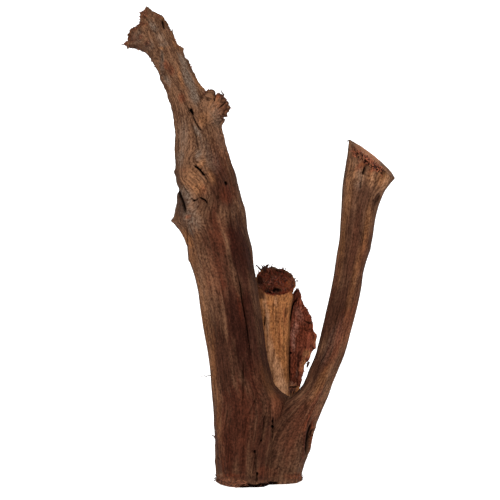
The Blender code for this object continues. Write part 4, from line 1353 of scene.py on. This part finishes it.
class DriftwoodFinish(bpy.types.PropertyGroup):
    """The wood's colours."""

    weathered: FloatVectorProperty(
        name="Weathered", description="Grey brown of the weathered upper wood", subtype="COLOR",
        default=linear("#573c2b"))
    heart: FloatVectorProperty(
        name="Heartwood", description="Dark red brown of the heartwood below", subtype="COLOR",
        default=linear("#29110a"))
    sapwood: FloatVectorProperty(
        name="Sapwood", description="Bare tan wood where the bark came off", subtype="COLOR",
        default=linear("#885733"))
    bark: FloatVectorProperty(
        name="Old bark", description="Red brown of the bark plate", subtype="COLOR",
        default=linear("#6a3626"))
    bark_worn: FloatVectorProperty(
        name="Worn bark", description="Pink brown where the bark is rubbed", subtype="COLOR",
        default=linear("#9a6a5a"))
    grey: FloatVectorProperty(
        name="Grey bloom", description="Silver grey of the weathered patches", subtype="COLOR",
        default=linear("#5c5046"))
    tan: FloatVectorProperty(
        name="Tan", description="Freshly worn fibre", subtype="COLOR", default=linear("#805332"))
    pale: FloatVectorProperty(
        name="Pale fibre", description="Dry, pinkish fibre", subtype="COLOR", default=linear("#a47a5c"))
    red: FloatVectorProperty(
        name="Red brown", description="Resin-stained fibre", subtype="COLOR", default=linear("#5c2715"))
    # The dark stain colour also paints shade: on the flanks, in hollows and at some edges.
    dark: FloatVectorProperty(
        name="Dark stain", description="Damp-darkened wood and hollows", subtype="COLOR",
        default=linear("#2a1710"))
    torn: FloatVectorProperty(
        name="Torn end", description="Torn fibre at the snapped end", subtype="COLOR",
        default=linear("#41190f"))
    sawn: FloatVectorProperty(
        name="Sawn end", description="The saw cut's dry pink face", subtype="COLOR",
        default=linear("#85593f"))


class DriftwoodFibres(bpy.types.PropertyGroup):
    """The loose fibres."""

    torn_clumps: IntProperty(
        name="Torn end clumps", description="Clumps of fibre on the snapped limb's torn end", default=60,
        min=0, max=600)
    rim_count: IntProperty(
        name="Saw rim splinters", description="Splinters along the saw cut's lower rim", default=170, min=0,
        max=2000)
    splinter_count: IntProperty(
        name="Splinters", description="Short splinters on the crown's and the side branch's broken ends",
        default=260, min=0, max=2000)
    foot_count: IntProperty(
        name="Foot fibres", description="Short fibres around the sawn foot's rim", default=110, min=0,
        max=2000)
    bark_foot_count: IntProperty(
        name="Bark foot fibres", description="Fibres where the bark plate meets the sapwood", default=160,
        min=0, max=1000)
    frayed_count: IntProperty(
        name="Foot fraying", description="Lighter fibres along the foot's front rim, at its left",
        default=90, min=0, max=1000)
    radius: FloatProperty(
        name="Fibre radius", description="Half a loose fibre's thickness", default=0.00028, min=0.0001,
        max=0.001, precision=5, unit="LENGTH")


class DriftwoodStudio(bpy.types.PropertyGroup):
    """The floor, lights and camera."""

    key_power: FloatProperty(
        name="Key light", description="Power of the large light above the camera", default=43.0, min=0,
        max=200, unit="POWER")
    fill_power: FloatProperty(
        name="Fill light", description="Power of the soft light at the right", default=5.0, min=0, max=200,
        unit="POWER")
    sky_strength: FloatProperty(
        name="Surround", description="Strength of the even white surround", default=0.7, min=0, max=5)
    lens: FloatProperty(
        name="Lens", description="Focal length on a 36 mm sensor, in millimetres", default=100.8, min=20,
        max=400)


class DRIFTWOOD_OT_wood(bpy.types.Operator):
    """Carves the trunk, the limbs and the bark plate over their solids and finishes them"""

    bl_idname = "driftwood.wood"
    bl_label = "Carve the Wood"

    def execute(self, context):
        skin, owner, grain, masks = carved(context.scene.driftwood_relief)
        normals = skin.normals()
        finish = context.scene.driftwood_finish
        heartwood = wood_material("Weathered heartwood", finish, finish.weathered, finish.heart, finish.grey)
        sapwood = wood_material("Barked-off sapwood", finish, finish.weathered, finish.heart, finish.grey)
        old_bark = wood_material("Old bark", finish, finish.bark, finish.heart, finish.bark_worn)
        finishes = {"back_limb": sapwood, "bark_plate": old_bark}
        for node, ending, used, quads in shares_of(skin, owner):
            name, slot = PIECES[node]
            points = skin.points[used]
            middles, fans = caps(points, quads)
            piece = new_piece(
                name + ending, np.concatenate([points, middles]), quads.tolist() + fans, slot,
                finishes.get(node, heartwood))
            extra = len(middles)
            set_attribute(piece.data, "grain", np.pad(grain[used], ((0, extra), (0, 0))), "FLOAT_VECTOR")
            for mask, values in masks.items():
                set_attribute(piece.data, mask, np.pad(values[used].astype(float), (0, extra)))
            facing = np.pad(normals[used], ((0, extra), (0, 0)))
            facing[len(used):, 2] = 1.0
            piece.data.normals_split_custom_set_from_vertices(facing.tolist())
            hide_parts(node)
        return {"FINISHED"}


class DRIFTWOOD_OT_torn_end(bpy.types.Operator):
    """Lays loose fibres over the snapped limb's torn end"""

    bl_idname = "driftwood.torn_end"
    bl_label = "Fray the Torn End"

    def execute(self, context):
        fibres = context.scene.driftwood_fibres
        draw = np.random.default_rng(21)
        name = PIECES["back_limb"][0]
        points, normals = surface_of(name)
        face = np.flatnonzero(mark_of(name, "torn") > 0.5)
        courses = []
        for index in draw.choice(face, fibres.torn_clumps):
            lie = np.cross(normals[index], draw.normal(size=3))
            way = lie / np.linalg.norm(lie) + draw.uniform(0.05, 0.4) * normals[index]
            for _ in range(draw.integers(3, 8)):
                root = points[index] + draw.normal(scale=0.7, size=3) - 0.2 * normals[index]
                course = curl(draw, root, way + draw.normal(scale=0.25, size=3), draw.uniform(2.0, 6), 0.9)
                courses.append((course, fibres.radius / MM * draw.uniform(0.8, 1.7)))
        courses += drawn_strands("back_limb")
        torn_fibre = fibre_material("Torn fibre", "#1a0704", "#7a3a22")
        bundle("torn_end_fibres", courses, "bare_tan_wood", torn_fibre, 22)
        return {"FINISHED"}


class DRIFTWOOD_OT_saw_rim(bpy.types.Operator):
    """Raises splinters along the lower rim of the saw cut"""

    bl_idname = "driftwood.saw_rim"
    bl_label = "Splinter the Saw Cut's Rim"

    def execute(self, context):
        fibres = context.scene.driftwood_fibres
        draw = np.random.default_rng(31)
        points, normals = surface_of(PIECES["right_limb"][0])
        seen = as_seen(points)
        below = below_cut(seen)
        rim = (below > 4.2) & (below < 12.0) & (normals[:, 1] < -0.15)
        rim &= (seen[:, 0] > 91) & (seen[:, 0] < 122)
        courses = []
        for index in draw.choice(np.flatnonzero(rim), fibres.rim_count):
            lie = np.cross(normals[index], draw.normal(size=3))
            aim = 0.9 * lie / np.linalg.norm(lie) + 0.4 * normals[index]
            aim = aim + draw.uniform(-0.3, 0.4) * np.array(SAW_CUT[1])
            course = curl(draw, points[index] - 0.2 * normals[index], aim, draw.uniform(1.6, 4.2), 1.1, 5)
            courses.append((course, fibres.radius / MM * draw.uniform(1.0, 2.2)))
        rim_splinter = fibre_material("Rim splinter", "#210906", "#9c5638")
        bundle("saw_rim_splinters", courses, "limb_wood", rim_splinter, 32)
        return {"FINISHED"}


class DRIFTWOOD_OT_stray_fibres(bpy.types.Operator):
    """Adds single stray fibres, splinters on the broken ends and short fibres around the foot"""

    bl_idname = "driftwood.stray_fibres"
    bl_label = "Add Stray Fibres"

    def execute(self, context):
        fibres = context.scene.driftwood_fibres
        draw = np.random.default_rng(41)
        crown, trunk = PIECES["left_limb"][0] + "_upper", PIECES["trunk"][0]
        courses = drawn_strands("left_limb", "trunk", "right_limb", "bark_plate")
        points, normals = surface_of(crown)
        broken = np.flatnonzero(mark_of(crown, "end") > 0.4)
        for index in draw.choice(broken, fibres.splinter_count):
            way = normals[index] + draw.normal(scale=0.45, size=3)
            course = curl(draw, points[index] - 0.3 * normals[index], way, draw.uniform(0.8, 2.4), 0.5, 4)
            courses.append((course, fibres.radius / MM * draw.uniform(1.0, 2.0)))
        points, normals = surface_of(trunk)
        rim = np.flatnonzero((points[:, 2] > 0.8) & (points[:, 2] < 6) & (np.abs(normals[:, 2]) < 0.7))
        for index in draw.choice(rim, fibres.foot_count):
            way = np.cross(normals[index], (0, 0, 1.0)) * draw.normal() + 0.2 * normals[index]
            way = way + (0, 0, draw.uniform(-0.1, 0.5))
            course = curl(draw, points[index] - 0.2 * normals[index], way, draw.uniform(2, 6), 0.8, 5)
            courses.append((course, fibres.radius / MM * draw.uniform(0.7, 1.2), draw.uniform(0.0, 0.6)))
        # The bark plate's foot, where bark and sapwood fray into each other.
        points, normals = surface_of(PIECES["bark_plate"][0], trunk)
        seen = as_seen(points)
        foot = (seen[:, 0] > 27.5) & (seen[:, 0] < 35.5) & (seen[:, 1] > 93) & (seen[:, 1] < 99)
        foot &= (points[:, 1] > 2) & (normals[:, 1] < 0.2)
        for index in draw.choice(np.flatnonzero(foot), fibres.bark_foot_count):
            way = (draw.normal(scale=0.3), -0.25, -1)
            course = curl(draw, points[index] - 0.1 * normals[index], way, draw.uniform(3.5, 7.5), 0.4, 6)
            courses.append((course, fibres.radius / MM * draw.uniform(1.4, 2.8), draw.uniform(0.0, 1.0)))
        # The lighter fibres that the saw left along the foot's front rim, at its left.
        points, normals = surface_of(trunk)
        seen = as_seen(points)
        frayed = (points[:, 2] > 0.8) & (points[:, 2] < 7) & (normals[:, 1] < -0.2)
        frayed &= (seen[:, 0] > -40) & (seen[:, 0] < -14)
        for index in draw.choice(np.flatnonzero(frayed), fibres.frayed_count):
            way = np.cross(normals[index], (0, 0, 1.0)) * draw.choice((-1, 1)) + 0.12 * normals[index]
            way = way + (0, 0, draw.uniform(-0.4, 0.6))
            course = curl(draw, points[index] + 0.05 * normals[index], way, draw.uniform(2.5, 6.5), 0.9, 6)
            courses.append((course, fibres.radius / MM * draw.uniform(0.9, 1.8), draw.uniform(0.2, 1.0)))
        # No fibre reaches below the surface that the foot stands on.
        lifted = [([(x, y, max(z, 0.6)) for x, y, z in course], *rest) for course, *rest in courses]
        stray_fibre = fibre_material("Stray fibre", "#240e08", "#8a5236")
        bundle("stray_fibres", lifted, "trunk_wood", stray_fibre, 42)
        return {"FINISHED"}


class DRIFTWOOD_OT_stage(bpy.types.Operator):
    """Sets the pale floor, the soft lights and the camera"""

    bl_idname = "driftwood.stage"
    bl_label = "Set the Stage"

    def execute(self, context):
        studio = context.scene.driftwood_studio
        reach, back, rise, bend, steps = 9.0, 2.2, 4.5, 0.9, 12
        rows = [(-reach, 0.0), (back - bend, 0.0)]
        rows += [
            (back - bend + bend * sin(pi / 2 * k / steps), bend - bend * cos(pi / 2 * k / steps))
            for k in range(1, steps + 1)
        ]
        rows.append((back, rise))
        points = [(side * reach, y, z) for y, z in rows for side in (-1, 1)]
        faces = [(2 * k, 2 * k + 1, 2 * k + 3, 2 * k + 2) for k in range(len(rows) - 1)]
        mesh = bpy.data.meshes.new("floor")
        mesh.from_pydata(points, [], faces)
        mesh.shade_smooth()
        paper = bpy.data.materials.new("White paper")
        paper.use_nodes = True
        shader = paper.node_tree.nodes["Principled BSDF"]
        shader.inputs["Base Color"].default_value = (0.92, 0.92, 0.92, 1)
        shader.inputs["Roughness"].default_value = 0.95
        shader.inputs["Specular IOR Level"].default_value = 0.0
        shader.inputs["Emission Color"].default_value = (1, 1, 1, 1)
        shader.inputs["Emission Strength"].default_value = 0.5
        mesh.materials.append(paper)
        floor = bpy.data.objects.new("floor", mesh)
        context.scene.collection.objects.link(floor)
        floor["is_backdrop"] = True

        lights = (
            ("key", (-0.2, -1.9, 1.5), 1.4, studio.key_power),
            ("fill", (1.6, -1.2, 0.9), 1.4, studio.fill_power),
        )
        for name, place, size, power in lights:
            lamp = bpy.data.lights.new(name, "AREA")
            lamp.shape = "DISK"
            lamp.size = size
            lamp.energy = power
            light = bpy.data.objects.new(name, lamp)
            light.location = place
            light.rotation_euler = (Vector((0, 0, 0.22)) - Vector(place)).to_track_quat("-Z", "Y").to_euler()
            context.scene.collection.objects.link(light)

        world = bpy.data.worlds.new("white surround")
        world.use_nodes = True
        world.node_tree.nodes["Background"].inputs["Color"].default_value = (1, 1, 1, 1)
        world.node_tree.nodes["Background"].inputs["Strength"].default_value = studio.sky_strength
        context.scene.world = world
        context.scene.view_settings.view_transform = "Standard"

        lens = bpy.data.cameras.new("camera")
        lens.sensor_width = 36
        lens.lens = studio.lens
        camera = bpy.data.objects.new("camera", lens)
        camera.location = Vector(EYE) * MM
        camera.rotation_euler = (pi / 2, 0, 0)
        context.scene.collection.objects.link(camera)
        context.scene.camera = camera
        return {"FINISHED"}


class DRIFTWOOD_PT_panel(bpy.types.Panel):
    """Lists the steps and their settings"""

    bl_idname = "DRIFTWOOD_PT_panel"
    bl_label = "Driftwood"
    bl_space_type = "VIEW_3D"
    bl_region_type = "UI"
    bl_category = "Driftwood"

    def draw(self, context):
        steps = {
            "driftwood_relief": (DRIFTWOOD_OT_wood,),
            "driftwood_finish": (),
            "driftwood_fibres": (DRIFTWOOD_OT_torn_end, DRIFTWOOD_OT_saw_rim, DRIFTWOOD_OT_stray_fibres),
            "driftwood_studio": (DRIFTWOOD_OT_stage,),
        }
        for group, operators in steps.items():
            box = self.layout.box()
            for name in GROUPS[group].__annotations__:
                box.prop(getattr(context.scene, group), name)
            for operator in operators:
                box.operator(operator.bl_idname)


GROUPS = {
    "driftwood_relief": DriftwoodRelief,
    "driftwood_finish": DriftwoodFinish,
    "driftwood_fibres": DriftwoodFibres,
    "driftwood_studio": DriftwoodStudio,
}
CLASSES = (
    *GROUPS.values(),
    DRIFTWOOD_OT_wood,
    DRIFTWOOD_OT_torn_end,
    DRIFTWOOD_OT_saw_rim,
    DRIFTWOOD_OT_stray_fibres,
    DRIFTWOOD_OT_stage,
    DRIFTWOOD_PT_panel,
)


def register():
    for made in CLASSES:
        bpy.utils.register_class(made)
    for name, group in GROUPS.items():
        setattr(bpy.types.Scene, name, PointerProperty(type=group))


def unregister():
    for name in GROUPS:
        delattr(bpy.types.Scene, name)
    for made in reversed(CLASSES):
        bpy.utils.unregister_class(made)


def main():
    register()
    bpy.ops.driftwood.stage()
    bpy.ops.driftwood.wood()
    bpy.ops.driftwood.torn_end()
    bpy.ops.driftwood.saw_rim()
    bpy.ops.driftwood.stray_fibres()
    boxes = {"frame": FRAME_BOX, "dressed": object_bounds()}
    {name: [list(corner) for corner in box] for name, box in boxes.items()}


if __name__ == "__main__":
    main()
